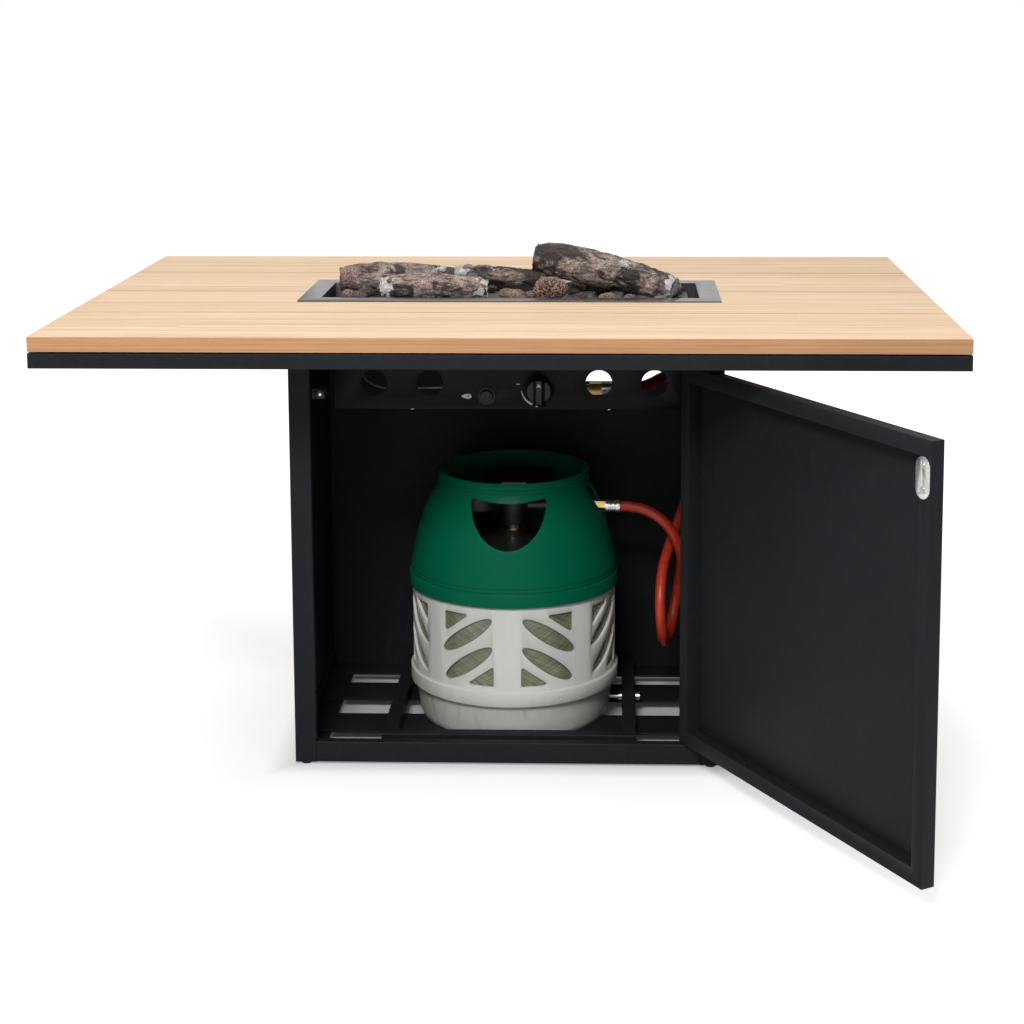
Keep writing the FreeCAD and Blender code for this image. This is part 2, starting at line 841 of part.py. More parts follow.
def burner_tray():
    """Pressed tray whose flange lies on the boards."""
    flange = box(-flange_half_length, flange_half_length, -flange_half_width, flange_half_width,
                 boards_top, flange_top)
    walls = box(-tray_out_x, tray_out_x, -tray_out_y, tray_out_y, tray_under, flange_top)
    inside = box(-opening_half, opening_half, -opening_deep, opening_deep, tray_floor, flange_top + over)
    tray = fuse([flange, walls]).cut(inside)
    holes = ((knob_x, 0.0, stub_radius), (electrode_x, electrode_y, electrode_body),
             (electrode_x, probe_y, probe_body))
    for x, y, radius in holes:
        tray = tray.cut(rod(Vec(x, y, tray_under - over), UP, radius + screw_play, sheet + 2 * over))
    for x in (-drain_x, drain_x):
        for y in (-drain_y, drain_y):
            tray = tray.cut(rod(Vec(x, y, tray_under - over), UP, drain_radius, sheet + 2 * over))
    return tray


def media_plate():
    """Folded plate that carries logs and rocks, with flame slots and two end walls."""
    low = plate_top - media_sheet
    top = box(media_left, media_right, -media_half_width, media_half_width, low, plate_top)
    left = box(media_left, media_left + media_sheet, -media_half_width, media_half_width, tray_floor, low)
    right = box(media_right - media_sheet, media_right, -media_half_width, media_half_width, tray_floor,
                low)
    plate = fuse([top, left, right])
    pitch = (media_right - media_left) / slot_count
    for index in range(slot_count):
        x = media_left + (index + 0.5) * pitch
        for y in (-slot_row, slot_row):
            plate = plate.cut(box(x - slot_length / 2, x + slot_length / 2, y - slot_width / 2,
                                  y + slot_width / 2,
                                  low - over, plate_top + over))
    for y in (electrode_y, probe_y):
        plate = plate.cut(rod(Vec(electrode_x, y, low - over), UP, tip_hole, media_sheet + 2 * over))
    return plate


def burner_pipe():
    """Closed burner tube on its stub, with a row of gas ports on each side."""
    level = tray_floor + burner_level
    tube = rod(Vec(knob_x - burner_half_length, 0, level), ALONG_X, burner_radius, 2 * burner_half_length)
    stub = rod(Vec(knob_x, 0, tray_under - stub_drop), UP, stub_radius, level - tray_under + stub_drop)
    seat = rod(Vec(knob_x, 0, tray_floor), UP, stub_radius + seat_rim, seat_height)
    body = fuse([tube, stub, seat])
    bore = rod(Vec(knob_x - burner_half_length + burner_wall, 0, level), ALONG_X,
               burner_radius - burner_wall,
               2 * (burner_half_length - burner_wall))
    drop = rod(Vec(knob_x, 0, tray_under - stub_drop - over), UP, stub_radius - burner_wall,
               level - tray_under + stub_drop)
    body = body.cut(bore).cut(drop)
    pitch = 2 * burner_half_length / burner_ports
    for index in range(burner_ports):
        x = knob_x - burner_half_length + (index + 0.5) * pitch
        body = body.cut(rod(Vec(x, -burner_radius - over, level), ALONG_Y, port_radius,
                            2 * (burner_radius + over)))
    return body


def spark_electrode():
    """Ceramic electrode with a wire tip under the media plate's hole, and its collar on the tray floor."""
    body = rod(Vec(electrode_x, electrode_y, tray_under - electrode_drop), UP, electrode_body,
               electrode_drop + sheet + electrode_rise)
    collar = rod(Vec(electrode_x, electrode_y, tray_floor), UP, electrode_body + collar_rim, collar_height)
    tip = rod(Vec(electrode_x, electrode_y, tray_floor + electrode_rise), UP, electrode_tip,
              plate_top - tray_floor - electrode_rise - tip_gap)
    return fuse([body, collar, tip])


def valve_places():
    """Faces of the gas valve: left, right, front, back, bottom and top."""
    return (knob_x - valve_half, knob_x + valve_half, panel_back, panel_back + valve_depth + boss_length,
            knob_level - valve_half, knob_level + valve_half)


def gas_valve():
    """Valve body behind the panel, bored for its stem."""
    x0, x1, y0, y1, z0, z1 = valve_places()
    block = box(x0, x1, y0 + boss_length, y1, z0, z1)
    boss = rod(Vec(knob_x, y0, knob_level), ALONG_Y, boss_radius, boss_length + over)
    body = fuse([block, boss])
    return body.cut(rod(Vec(knob_x, y0 - over, knob_level), ALONG_Y, stem_radius + running,
                        stem_depth + over))


def valve_stem():
    """Stem that the knob turns."""
    start = panel_back + stem_depth - loose
    return rod(Vec(knob_x, start, knob_level), FORWARD, stem_radius, start - stem_tip)


def control_knob():
    """Round knob with a grip bar, free to slide on the stem."""
    front = knob_back - knob_base
    disc = rod(Vec(knob_x, knob_back, knob_level), FORWARD, knob_radius, knob_base)
    disc = disc.makeFillet(knob_round, circles_at(disc, front))
    grip = box(knob_x - knob_grip_width / 2, knob_x + knob_grip_width / 2, front - knob_grip,
               front + knob_lap,
               knob_level - knob_radius, knob_level + knob_radius)
    grip = grip.common(rod(Vec(knob_x, front + knob_lap, knob_level), FORWARD,
                           knob_radius - knob_grip_inset,
                           knob_grip + knob_lap))
    bore = rod(Vec(knob_x, knob_back + over, knob_level), FORWARD, stem_radius + running,
               over + stem_grip + knob_stroke + loose)
    return fuse([disc, grip]).cut(bore)


def control_panel():
    """Sheet with a folded edge above and below, round vents, and holes for the knob and igniter."""
    face = box(-panel_half_length, panel_half_length, panel_front, panel_back, panel_bottom, tray_under)
    top = box(-panel_half_length, panel_half_length, panel_back, panel_front + panel_return,
              tray_under - sheet, tray_under)
    bottom = box(-panel_half_length, panel_half_length, panel_back, panel_front + panel_return,
                 panel_bottom, panel_bottom + sheet)
    panel = fuse([face, top, bottom])
    through = sheet + 2 * over
    for x in [share * panel_half_length for share in vent_shares]:
        panel = panel.cut(rod(Vec(x, panel_back + over, vent_level), FORWARD, vent_radius, through))
    panel = panel.cut(rod(Vec(knob_x, panel_back + over, knob_level), FORWARD, stem_radius + stem_hole_gap,
                          through))
    panel = panel.cut(rod(Vec(igniter_x, panel_back + over, igniter_level), FORWARD, igniter_neck + running,
                          through))
    for x in bracket_screw_places:
        panel = panel.cut(rod(Vec(x, bracket_screw_y, panel_bottom - over), UP, bracket_screw + screw_play,
                              through))
    return panel


def valve_bracket():
    """Strip on the panel's lower fold with a saddle under the gas valve."""
    low = panel_bottom + sheet
    back = panel_front + panel_return - bracket_inset
    strip = box(-bracket_half_length, bracket_half_length, panel_back, back, low, low + bracket_sheet)
    saddle = box(knob_x - saddle_half, knob_x + saddle_half, panel_back + boss_length, back,
                 low + bracket_sheet, knob_level - valve_half)
    bracket = fuse([strip, saddle])
    for x in bracket_screw_places:
        bracket = bracket.cut(rod(Vec(x, bracket_screw_y, low - over), UP, bracket_screw + screw_play,
                                  bracket_sheet + 2 * over))
    return bracket


def panel_screws():
    """Two screws up through the panel's lower fold into the bracket."""
    screws = []
    for x in bracket_screw_places:
        head = rod(Vec(x, bracket_screw_y, panel_bottom - bracket_screw_head_height), UP,
                   bracket_screw_head, bracket_screw_head_height)
        shank = rod(Vec(x, bracket_screw_y, panel_bottom), UP, bracket_screw, bracket_screw_length)
        screws.append(fuse([head, shank]))
    return group(screws)


def igniter_body():
    """Piezo housing with a bezel in front of the panel."""
    bezel = rod(Vec(igniter_x, panel_front, igniter_level), FORWARD, igniter_radius, igniter_bezel)
    barrel = rod(Vec(igniter_x, panel_front, igniter_level), ALONG_Y, igniter_neck, igniter_length)
    body = fuse([bezel, barrel])
    mouth = igniter_bezel + over
    return body.cut(rod(Vec(igniter_x, panel_front - mouth, igniter_level), ALONG_Y, igniter_bore,
                        mouth + igniter_depth))


def igniter_button():
    """Sprung button of the igniter."""
    start = panel_front + igniter_depth - igniter_stroke - loose
    length = start - panel_front + igniter_stand
    button = rod(Vec(igniter_x, start, igniter_level), FORWARD, igniter_bore - loose, length)
    return button.makeFillet(button_round, circles_at(button, panel_front - igniter_stand))


def supply_pipe():
    """Bent pipe from the valve's back to the burner's stub."""
    back = valve_places()[3]
    return bent_tube(route(((knob_x, back, knob_level), (knob_x, 0, knob_level),
                            (knob_x, 0, tray_under - stub_drop))), supply_radius, "supply_pipe")


def ignition_lead():
    """Lead from the igniter's back to the spark electrode."""
    start = panel_front + igniter_length
    span = electrode_x - igniter_x
    places = [(igniter_x, start, igniter_level), (igniter_x, start + lead_run, igniter_level)]
    for share, back, rise in ignition_bends:
        places.append((igniter_x + share * span, start + back, igniter_level + rise))
    end = tray_under - electrode_drop
    places += [(electrode_x, electrode_y, end - lead_end_run), (electrode_x, electrode_y, end)]
    return bent_tube(route(places), lead_radius, "ignition_lead")


def thermocouple_lead():
    """Flame probe in the tray and the thin tube that leads to the gas valve."""
    x0, _, _, y1, z0, _ = valve_places()
    y0 = y1 - capillary_inset
    level = z0 + capillary_rise
    span = electrode_x - x0
    places = [(x0, y0, level), (x0 - lead_run, y0, level)]
    for share, back, rise in capillary_bends:
        places.append((x0 + share * span, y0 + back, level + rise))
    end = tray_under - probe_drop
    near_share, setback, rise = capillary_end
    places += [(x0 + near_share * span, probe_y + setback, level + rise),
               (electrode_x, probe_y, level + capillary_turn), (electrode_x, probe_y, end)]
    lead = bent_tube(route(places), capillary_radius, "thermocouple_lead")
    probe = rod(Vec(electrode_x, probe_y, end), UP, probe_body, probe_drop + sheet + probe_rise)
    collar = rod(Vec(electrode_x, probe_y, tray_floor), UP, probe_body + collar_rim, collar_height)
    tip = rod(Vec(electrode_x, probe_y, tray_floor + probe_rise), UP, probe_tip,
              plate_top - tray_floor - probe_rise - tip_gap)
    return fuse([lead, probe, collar, tip])


def log(sections):
    """A ceramic log: a loft through round sections of (x, y, z, radius) along its bent middle."""
    centres = route([section[:3] for section in sections])
    wires = []
    for index, (x, y, z, radius) in enumerate(sections):
        before = centres[max(index - 1, 0)]
        after = centres[min(index + 1, len(centres) - 1)]
        wires.append(Part.Wire(Part.makeCircle(radius, Vec(x, y, z), after - before)))
    return Part.makeLoft(wires, True, False)


def resting(sections):
    """Log sections that lie on the media plate."""
    return [(share * opening_half, y, plate_top + log_seat + radius, radius)
            for share, y, radius in sections]


def raised(sections):
    """Log sections held above the media plate by what they lie on."""
    return [(share * opening_half, y, plate_top + rise, radius) for share, y, rise, radius in sections]


def lava_rocks():
    """Loose rocks on the media plate."""
    rocks = []
    for share, y, radius, squash in rock_places:
        ball = Part.makeSphere(radius, Vec(0, 0, 0))
        matrix = FreeCAD.Matrix()
        matrix.scale(1.0, 1.0, squash)
        stone = ball.transformGeometry(matrix)
        stone.translate(Vec(share * opening_half, y, plate_top + log_seat + radius * squash))
        rocks.append(stone)
    return group(rocks)


def tangent_frame(angle):
    """Outward, sideways and origin directions of a plane that touches the bottle at an angle."""
    turn = math.radians(angle)
    outward = Vec(math.sin(turn), -math.cos(turn), 0)
    across = Vec(math.cos(turn), math.sin(turn), 0)
    return outward, across


def softened(shape, radius):
    """Round the corners of a window's cutter."""
    return shape.makeFillet(radius, [e for e in shape.Edges if abs(e.Length - cutter_depth) < 1e-6])


def leaf(angle, mirror, shift, drop, half_long, half_short, tilt):
    """Elliptic cutter for one slanted window."""
    outward, across = tangent_frame(angle)
    centre = outward * cutter_start + across * (mirror * shift) + UP * (window_top - drop)
    lean = math.radians(tilt)
    long_way = across * (mirror * math.cos(lean)) + UP * math.sin(lean)
    ellipse = Part.Ellipse(centre + long_way * half_long,
                           centre + outward.cross(long_way) * half_short, centre)
    return Part.Face(Part.Wire(ellipse.toShape())).extrude(outward * cutter_depth)


def wedge(angle, mirror, corners):
    """Three-cornered cutter with soft corners."""
    outward, across = tangent_frame(angle)
    places = [outward * cutter_start + across * (mirror * a) + UP * (window_top - b) for a, b in corners]
    face = Part.Face(Part.makePolygon(places + [places[0]]))
    return softened(face.extrude(outward * cutter_depth), wedge_round)


def window_cutters():
    """All windows of the jacket: two leaves and two wedges in each sector, mirrored in turn."""
    side = jacket_radius * math.sin(math.radians(window_half_angle))
    cutters = []
    for index in range(window_sectors):
        angle = (index + 0.5) * 360.0 / window_sectors
        mirror = 1 if index % 2 else -1
        for shape in window_leaves:
            cutters.append(leaf(angle, mirror, *shape))
        cutters.append(wedge(angle, mirror, ((-side, upper_wedge_top), (-side, upper_wedge_low),
                                             (window_rib, upper_wedge_top))))
        cutters.append(wedge(angle, mirror, ((side, lower_wedge_top), (side, lower_wedge_low),
                                             (side - lower_wedge_reach, lower_wedge_low))))
    return cutters


def cylinder_jacket():
    """Light plastic jacket of the bottle: foot, belt and a wall with windows."""
    low = slat_top
    outer = [(foot_radius, low), (foot_radius + foot_flare, low + foot_lip),
             (belt_radius - belt_step, belt_low),
             (belt_radius, belt_low), (belt_radius, belt_high), (jacket_radius, belt_high + belt_slope),
             (jacket_radius, jacket_top)]
    wall = jacket_wall
    inner = [(jacket_radius - wall, jacket_top), (jacket_radius - wall, belt_low + wall),
             (foot_radius + foot_flare - wall, low + foot_lip), (foot_radius - wall, low)]
    shell = turned(outer + inner)
    shell = shell.cut(Part.makeCompound(window_cutters()))
    return turn_bottle(shell)


def cylinder_vessel():
    """Composite pressure vessel inside the jacket, hollow, with a neck for the valve."""
    radius = jacket_radius - jacket_wall - vessel_gap
    dome = [(r * radius, vessel_low + rise) for r, rise in vessel_bottom]
    dome += [(r * radius, vessel_shoulder + rise) for r, rise in vessel_dome]
    body = turned([(0, vessel_low)] + dome + [(neck_radius, vessel_shoulder + neck_rise),
                                              (neck_radius, neck_top),
                                              (0, neck_top)])
    wall = vessel_wall
    hollow = [(0, vessel_low + wall)]
    hollow += [(r * (radius - wall), vessel_low + wall + rise) for r, rise in vessel_bottom]
    hollow += [(r * (radius - wall), vessel_shoulder - wall + rise) for r, rise in vessel_dome]
    hollow += [(valve_thread, vessel_shoulder - wall + neck_rise), (valve_thread, neck_top + over),
               (0, neck_top + over)]
    return body.cut(turned(hollow))


def cylinder_cover():
    """Green cover that stands on the jacket, with hand holes front and back and one for the hose."""
    wall = cover_wall
    band = belt_radius - cover_band_step
    groove = rim_low + rim_groove_rise
    outer = [(belt_radius, jacket_top), (belt_radius, jacket_top + cover_band), (band, cover_band_top),
             (band, cover_shoulder - cover_shoulder_round), (belt_radius - rim_groove, cover_shoulder),
             (cover_knee_radius, cover_knee), (cover_neck_radius, cover_neck),
             (rim_radius + rim_step, rim_low - 2 * rim_step), (rim_radius, rim_low),
             (rim_radius, groove - rim_groove),
             (rim_radius - rim_groove, groove), (rim_radius, groove + rim_groove), (rim_radius, rim_top)]
    foot = belt_radius - wall - cover_foot_step
    inner = [(rim_radius - wall, rim_top), (rim_radius - wall, rim_low - rim_groove),
             (cover_neck_radius - wall - rim_groove, cover_neck), (cover_knee_radius - wall, cover_knee),
             (foot, cover_shoulder), (foot, jacket_top)]
    shell = turned(outer + inner)
    for angle, half, drop in ((0, hand_hole_half, hand_hole_drop), (180, hand_hole_half, hand_hole_drop),
                              (90, hose_hole_half, hose_hole_drop)):
        shell = shell.cut(bowl_cutter(angle, half, drop))
    return turn_bottle(shell)


def bowl_cutter(angle, half, drop):
    """Cutter with a flat top and a half elliptic bottom."""
    outward, across = tangent_frame(angle)
    centre = outward * bowl_start + UP * hand_hole_top
    top = Part.LineSegment(centre + across * half, centre - across * half).toShape()
    long_half = max(half, drop)
    short_half = min(half, drop)
    long_way = UP * -1 if drop > half else across
    short_way = across if drop > half else UP * -1
    ellipse = Part.Ellipse(centre + long_way * long_half, centre + short_way * short_half, centre)
    quarter = math.pi / 2
    first = (-quarter, quarter) if drop > half else (0, math.pi)
    curve = Part.ArcOfEllipse(ellipse, *first).toShape()
    face = Part.Face(Part.Wire(Part.sortEdges([top, curve])[0]))
    solid = face.extrude(outward * bowl_depth)
    lines = [e for e in solid.Edges if e.Curve.TypeId == "Part::GeomLine"]
    corners = [e for e in lines if abs(e.Length - bowl_depth) < 1e-6]
    return solid.makeFillet(bowl_round, corners)


def cylinder_valve():
    """Brass valve screwed into the vessel's neck, with a clip-on top."""
    body = rod(Vec(0, 0, neck_top - valve_bite), UP, valve_thread - screw_play, valve_bite)
    collar = rod(Vec(0, 0, neck_top), UP, valve_collar, valve_collar_height)
    spigot = rod(Vec(0, 0, neck_top + valve_collar_height), UP, valve_spigot, spigot_height)
    return fuse([body, collar, spigot])


def regulator_body():
    """Clip-on regulator: cup over the valve, round diaphragm housing and outlet pipe."""
    low = neck_top + valve_collar_height
    cup = rod(Vec(0, 0, low), UP, cup_radius, regulator_top - low)
    housing = rod(Vec(housing_x, housing_y, regulator_top - housing_drop), UP, housing_radius,
                  housing_height)
    housing = housing.makeFillet(housing_round,
                                 [e for e in housing.Edges if e.Curve.TypeId == "Part::GeomCircle"])
    outlet = rod(Vec(0, 0, outlet_level), ALONG_X, pipe_radius, nut_start())
    body = fuse([cup, housing, outlet])
    return body.cut(rod(Vec(0, 0, low - over), UP, valve_spigot + running, over + spigot_height + running))


def nut_start():
    """Where the hose nut at the regulator begins."""
    return hose_start_x - ferrule_length - nut_length


def regulator_switch():
    """Turning switch on top of the regulator."""
    low = regulator_top + loose
    high = low + dial_height
    disc = rod(Vec(0, 0, low), UP, dial_radius, dial_height)
    grip = box(-dial_radius, dial_radius, -dial_grip_half, dial_grip_half, high, high + dial_grip_height)
    grip = grip.common(rod(Vec(0, 0, high), UP, dial_radius, dial_grip_height))
    return fuse([disc, grip])


def hexagon(start, radius, length):
    """Six-sided bar along X."""
    corners = []
    for index in range(6):
        turn = math.radians(60 * index)
        corners.append(start + Vec(0, radius * math.cos(turn), radius * math.sin(turn)))
    return Part.Face(Part.makePolygon(corners + [corners[0]])).extrude(ALONG_X * length)


def hose_nut():
    """Brass nut between the regulator's outlet and the hose."""
    return hexagon(Vec(nut_start(), 0, outlet_level), nut_radius, nut_length)


def hose_ferrules():
    """Crimped steel ferrules at both hose ends."""
    first = rod(Vec(hose_start_x - ferrule_length, 0, outlet_level), ALONG_X, ferrule_radius,
                ferrule_length)
    second = rod(Vec(hose_end_x - ferrule_length, inlet_y, inlet_level), ALONG_X, ferrule_radius,
                 ferrule_length)
    return group([first, second])


def gas_inlet():
    """Brass inlet pipe with a nut, from the gas valve to the hose's second ferrule."""
    valve_side = valve_places()[1]
    nut_x = hose_end_x - ferrule_length - nut_length
    pipe = rod(Vec(valve_side, inlet_y - inlet_offset, inlet_level), ALONG_X, pipe_radius,
               nut_x - valve_side)
    nut = hexagon(Vec(nut_x, inlet_y, inlet_level), nut_radius, nut_length)
    return fuse([pipe, nut])


def gas_hose():
    """Red hose: over and down beside the bottle, round a low bend, and up to the inlet."""
    places = [(hose_start_x, 0, outlet_level)]
    places += [(x, y, outlet_level + rise) for x, y, rise in hose_loop]
    places += [(x, y, inlet_level + rise) for x, y, rise in hose_climb]
    places.append((hose_end_x, inlet_y, inlet_level))
    return bent_tube(route(places), hose_radius, "gas_hose")


def build():
    """Every node by name."""
    nodes = {}
    board_names = ("front_board", "front_middle_board", "rear_middle_board", "rear_board")
    for index, name in enumerate(board_names):
        nodes[name] = board(index)
    nodes["board_screws"] = board_screws()
    nodes["top_frame_long_tubes"] = group([top_long_tube(-1), top_long_tube(1)])
    nodes["top_frame_cross_tubes"] = top_cross_tubes()
    nodes["cabinet_bolts"] = cabinet_bolts()
    nodes["left_front_post"] = post(-1, -1)
    nodes["right_front_post"] = post(1, -1)
    nodes["rear_posts"] = group([post(-1, 1), post(1, 1)])
    nodes["front_bottom_rail"] = front_rail(glide_height)
    nodes["front_top_rail"] = front_rail(rail_high_bottom)
    nodes["rear_rails"] = rear_rails()
    nodes["left_side_panel"] = side_panel(-1)
    nodes["right_side_panel"] = side_panel(1)
    nodes["back_panel"] = back_panel()
    nodes["floor_ledges"] = group([floor_ledge(-1), floor_ledge(1), floor_bearer()])
    nodes["floor_slats"] = floor_slats()
    nodes["bottle_ring"] = bottle_ring()
    nodes["bottle_locator"] = bottle_locator()
    nodes["foot_glides"] = foot_glides()
    nodes["door_frame"] = door_frame()
    nodes["door_skin"] = door_skin()
    nodes["hinge_pins"] = hinge_pins()
    nodes["hinge_bushes"] = hinge_bushes()
    nodes["strike_plate"] = strike_plate()
    nodes["strike_screws"] = strike_screws()
    nodes["touch_latch_body"] = touch_latch_body()
    nodes["touch_latch_plunger"] = touch_latch_plunger()
    nodes["burner_tray"] = burner_tray()
    nodes["media_plate"] = media_plate()
    nodes["burner_pipe"] = burner_pipe()
    nodes["spark_electrode"] = spark_electrode()
    nodes["control_panel"] = control_panel()
    nodes["valve_bracket"] = valve_bracket()
    nodes["panel_screws"] = panel_screws()
    nodes["gas_valve"] = gas_valve()
    nodes["valve_stem"] = valve_stem()
    nodes["control_knob"] = control_knob()
    nodes["igniter_body"] = igniter_body()
    nodes["igniter_button"] = igniter_button()
    nodes["supply_pipe"] = supply_pipe()
    nodes["ignition_lead"] = ignition_lead()
    nodes["thermocouple_lead"] = thermocouple_lead()
    nodes["rear_left_log"] = log(resting(rear_left_sections))
    nodes["front_left_log"] = log(resting(front_left_sections))
    nodes["middle_log"] = log(raised(middle_sections))
    nodes["right_log"] = log(raised(right_sections))
    nodes["lava_rocks"] = lava_rocks()
    nodes["cylinder_jacket"] = cylinder_jacket()
    nodes["cylinder_vessel"] = cylinder_vessel()
    nodes["cylinder_cover"] = cylinder_cover()
    nodes["cylinder_valve"] = cylinder_valve()
    nodes["regulator_body"] = regulator_body()
    nodes["regulator_switch"] = regulator_switch()
    nodes["hose_nut"] = hose_nut()
    nodes["hose_ferrules"] = hose_ferrules()
    nodes["gas_inlet"] = gas_inlet()
    nodes["gas_hose"] = gas_hose()
    return nodes


os.makedirs("parts", exist_ok=True)
for name, shape in build().items():
    solids = len(shape.Solids)
    print(name, "solids", solids, "valid", shape.isValid(), "volume %.0f" % shape.Volume)
    shape.exportStep("parts/" + name + ".step")
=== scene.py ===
"""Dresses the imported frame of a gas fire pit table: teak, powder coat, logs, rocks, gas bottle and hose."""

import json
import math

import bmesh
import bpy
from bpy.props import FloatProperty, FloatVectorProperty, IntProperty, PointerProperty
from mathutils import Matrix, Vector, noise


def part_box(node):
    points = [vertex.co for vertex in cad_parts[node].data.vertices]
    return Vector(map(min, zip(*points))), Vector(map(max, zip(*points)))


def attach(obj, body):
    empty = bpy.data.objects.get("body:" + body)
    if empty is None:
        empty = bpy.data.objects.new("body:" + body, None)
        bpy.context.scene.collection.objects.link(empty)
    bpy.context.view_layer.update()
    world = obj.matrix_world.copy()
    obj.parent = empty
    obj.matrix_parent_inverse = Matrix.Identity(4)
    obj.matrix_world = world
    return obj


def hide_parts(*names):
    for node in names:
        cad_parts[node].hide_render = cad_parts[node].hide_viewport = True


bl_info = {
    "name": "Fire Pit Table",
    "version": (1, 0, 0),
    "blender": (4, 5, 0),
    "location": "3D View > Sidebar > Fire Table",
    "description": "Dresses a gas fire pit table around its packed frame",
    "category": "Object",
}

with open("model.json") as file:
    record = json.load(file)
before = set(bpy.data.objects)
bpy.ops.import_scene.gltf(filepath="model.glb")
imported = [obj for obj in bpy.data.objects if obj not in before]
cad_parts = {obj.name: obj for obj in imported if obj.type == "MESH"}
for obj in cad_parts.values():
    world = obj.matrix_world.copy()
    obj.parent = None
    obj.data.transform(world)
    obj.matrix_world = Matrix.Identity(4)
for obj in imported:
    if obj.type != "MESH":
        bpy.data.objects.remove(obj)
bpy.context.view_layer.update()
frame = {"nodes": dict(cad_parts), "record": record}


def middle_of(node):
    """The middle of a node's box."""
    low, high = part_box(node)
    return (low + high) / 2


MM = 0.001
KNOB = middle_of("control_knob")
BUTTON = middle_of("igniter_button")
MADE = {}  # every finish by its name, once they are made


# Settings


class FireTableSizes(bpy.types.PropertyGroup):
    """Sizes that a user would change."""

    stave: FloatProperty(
        name="Stave width", description="Width of one glued strip of a board", default=0.05, unit="LENGTH")
    stave_run: FloatProperty(
        name="Stave length", description="Length of one strip before the next begins", default=1.55,
        unit="LENGTH")
    bark: FloatProperty(
        name="Bark depth", description="How deep the bark of the logs is carved", default=0.0034,
        unit="LENGTH")
    rock_carving: FloatProperty(
        name="Rock roughness", description="How far a rock's surface falls back, as a share of its radius",
        default=0.24, subtype="FACTOR")
    hose: FloatProperty(
        name="Hose radius", description="Outer radius of the gas hose", default=0.00775, unit="LENGTH")
    lead: FloatProperty(
        name="Lead radius", description="Radius of the ignition lead", default=0.0016, unit="LENGTH")
    edge: FloatProperty(
        name="Sheet edge", description="Rounding of folded and cut sheet metal", default=0.0007,
        unit="LENGTH")
    lip: FloatProperty(
        name="Hand hole lip", description="Rounding of the cover's openings", default=0.0026, unit="LENGTH")
    turns: IntProperty(
        name="Steps of a turned piece", description="Faces around a turned piece", default=128, min=24)


class FireTableColours(bpy.types.PropertyGroup):
    """Colours that a user would change."""

    teak_light: FloatVectorProperty(
        name="Light teak", description="Pale wood between the grain lines", subtype="COLOR",
        default=(0.93, 0.70, 0.475))
    teak_dark: FloatVectorProperty(
        name="Dark teak", description="Grain lines of the wood", subtype="COLOR",
        default=(0.56, 0.345, 0.185))
    paint: FloatVectorProperty(
        name="Powder coat", description="Frame, cabinet and door", subtype="COLOR",
        default=(0.0125, 0.0132, 0.0158))
    flange: FloatVectorProperty(
        name="Burner frame", description="Heat resistant paint of the tray", subtype="COLOR",
        default=(0.022, 0.022, 0.023))
    cover: FloatVectorProperty(
        name="Bottle cover", description="Upper plastic cover", subtype="COLOR",
        default=(0.0006, 0.112, 0.058))
    jacket: FloatVectorProperty(
        name="Bottle jacket", description="Lower plastic jacket", subtype="COLOR",
        default=(0.62, 0.62, 0.585))
    hose: FloatVectorProperty(
        name="Hose rubber", description="Gas hose", subtype="COLOR", default=(0.50, 0.036, 0.014))
    bark: FloatVectorProperty(
        name="Log", description="Body of the ceramic logs", subtype="COLOR", default=(0.25, 0.195, 0.170))
    ash: FloatVectorProperty(
        name="Ash", description="Pale ends and dusting of the logs", subtype="COLOR",
        default=(0.74, 0.73, 0.71))


def sizes():
    """The size settings of the scene."""
    return bpy.context.scene.fire_table_sizes


def colours():
    """The colour settings of the scene."""
    return bpy.context.scene.fire_table_colours


# Shader nodes


def is_socket(value):
    """True for a link's end, and not for a number or a colour."""
    return isinstance(value, bpy.types.NodeSocket)


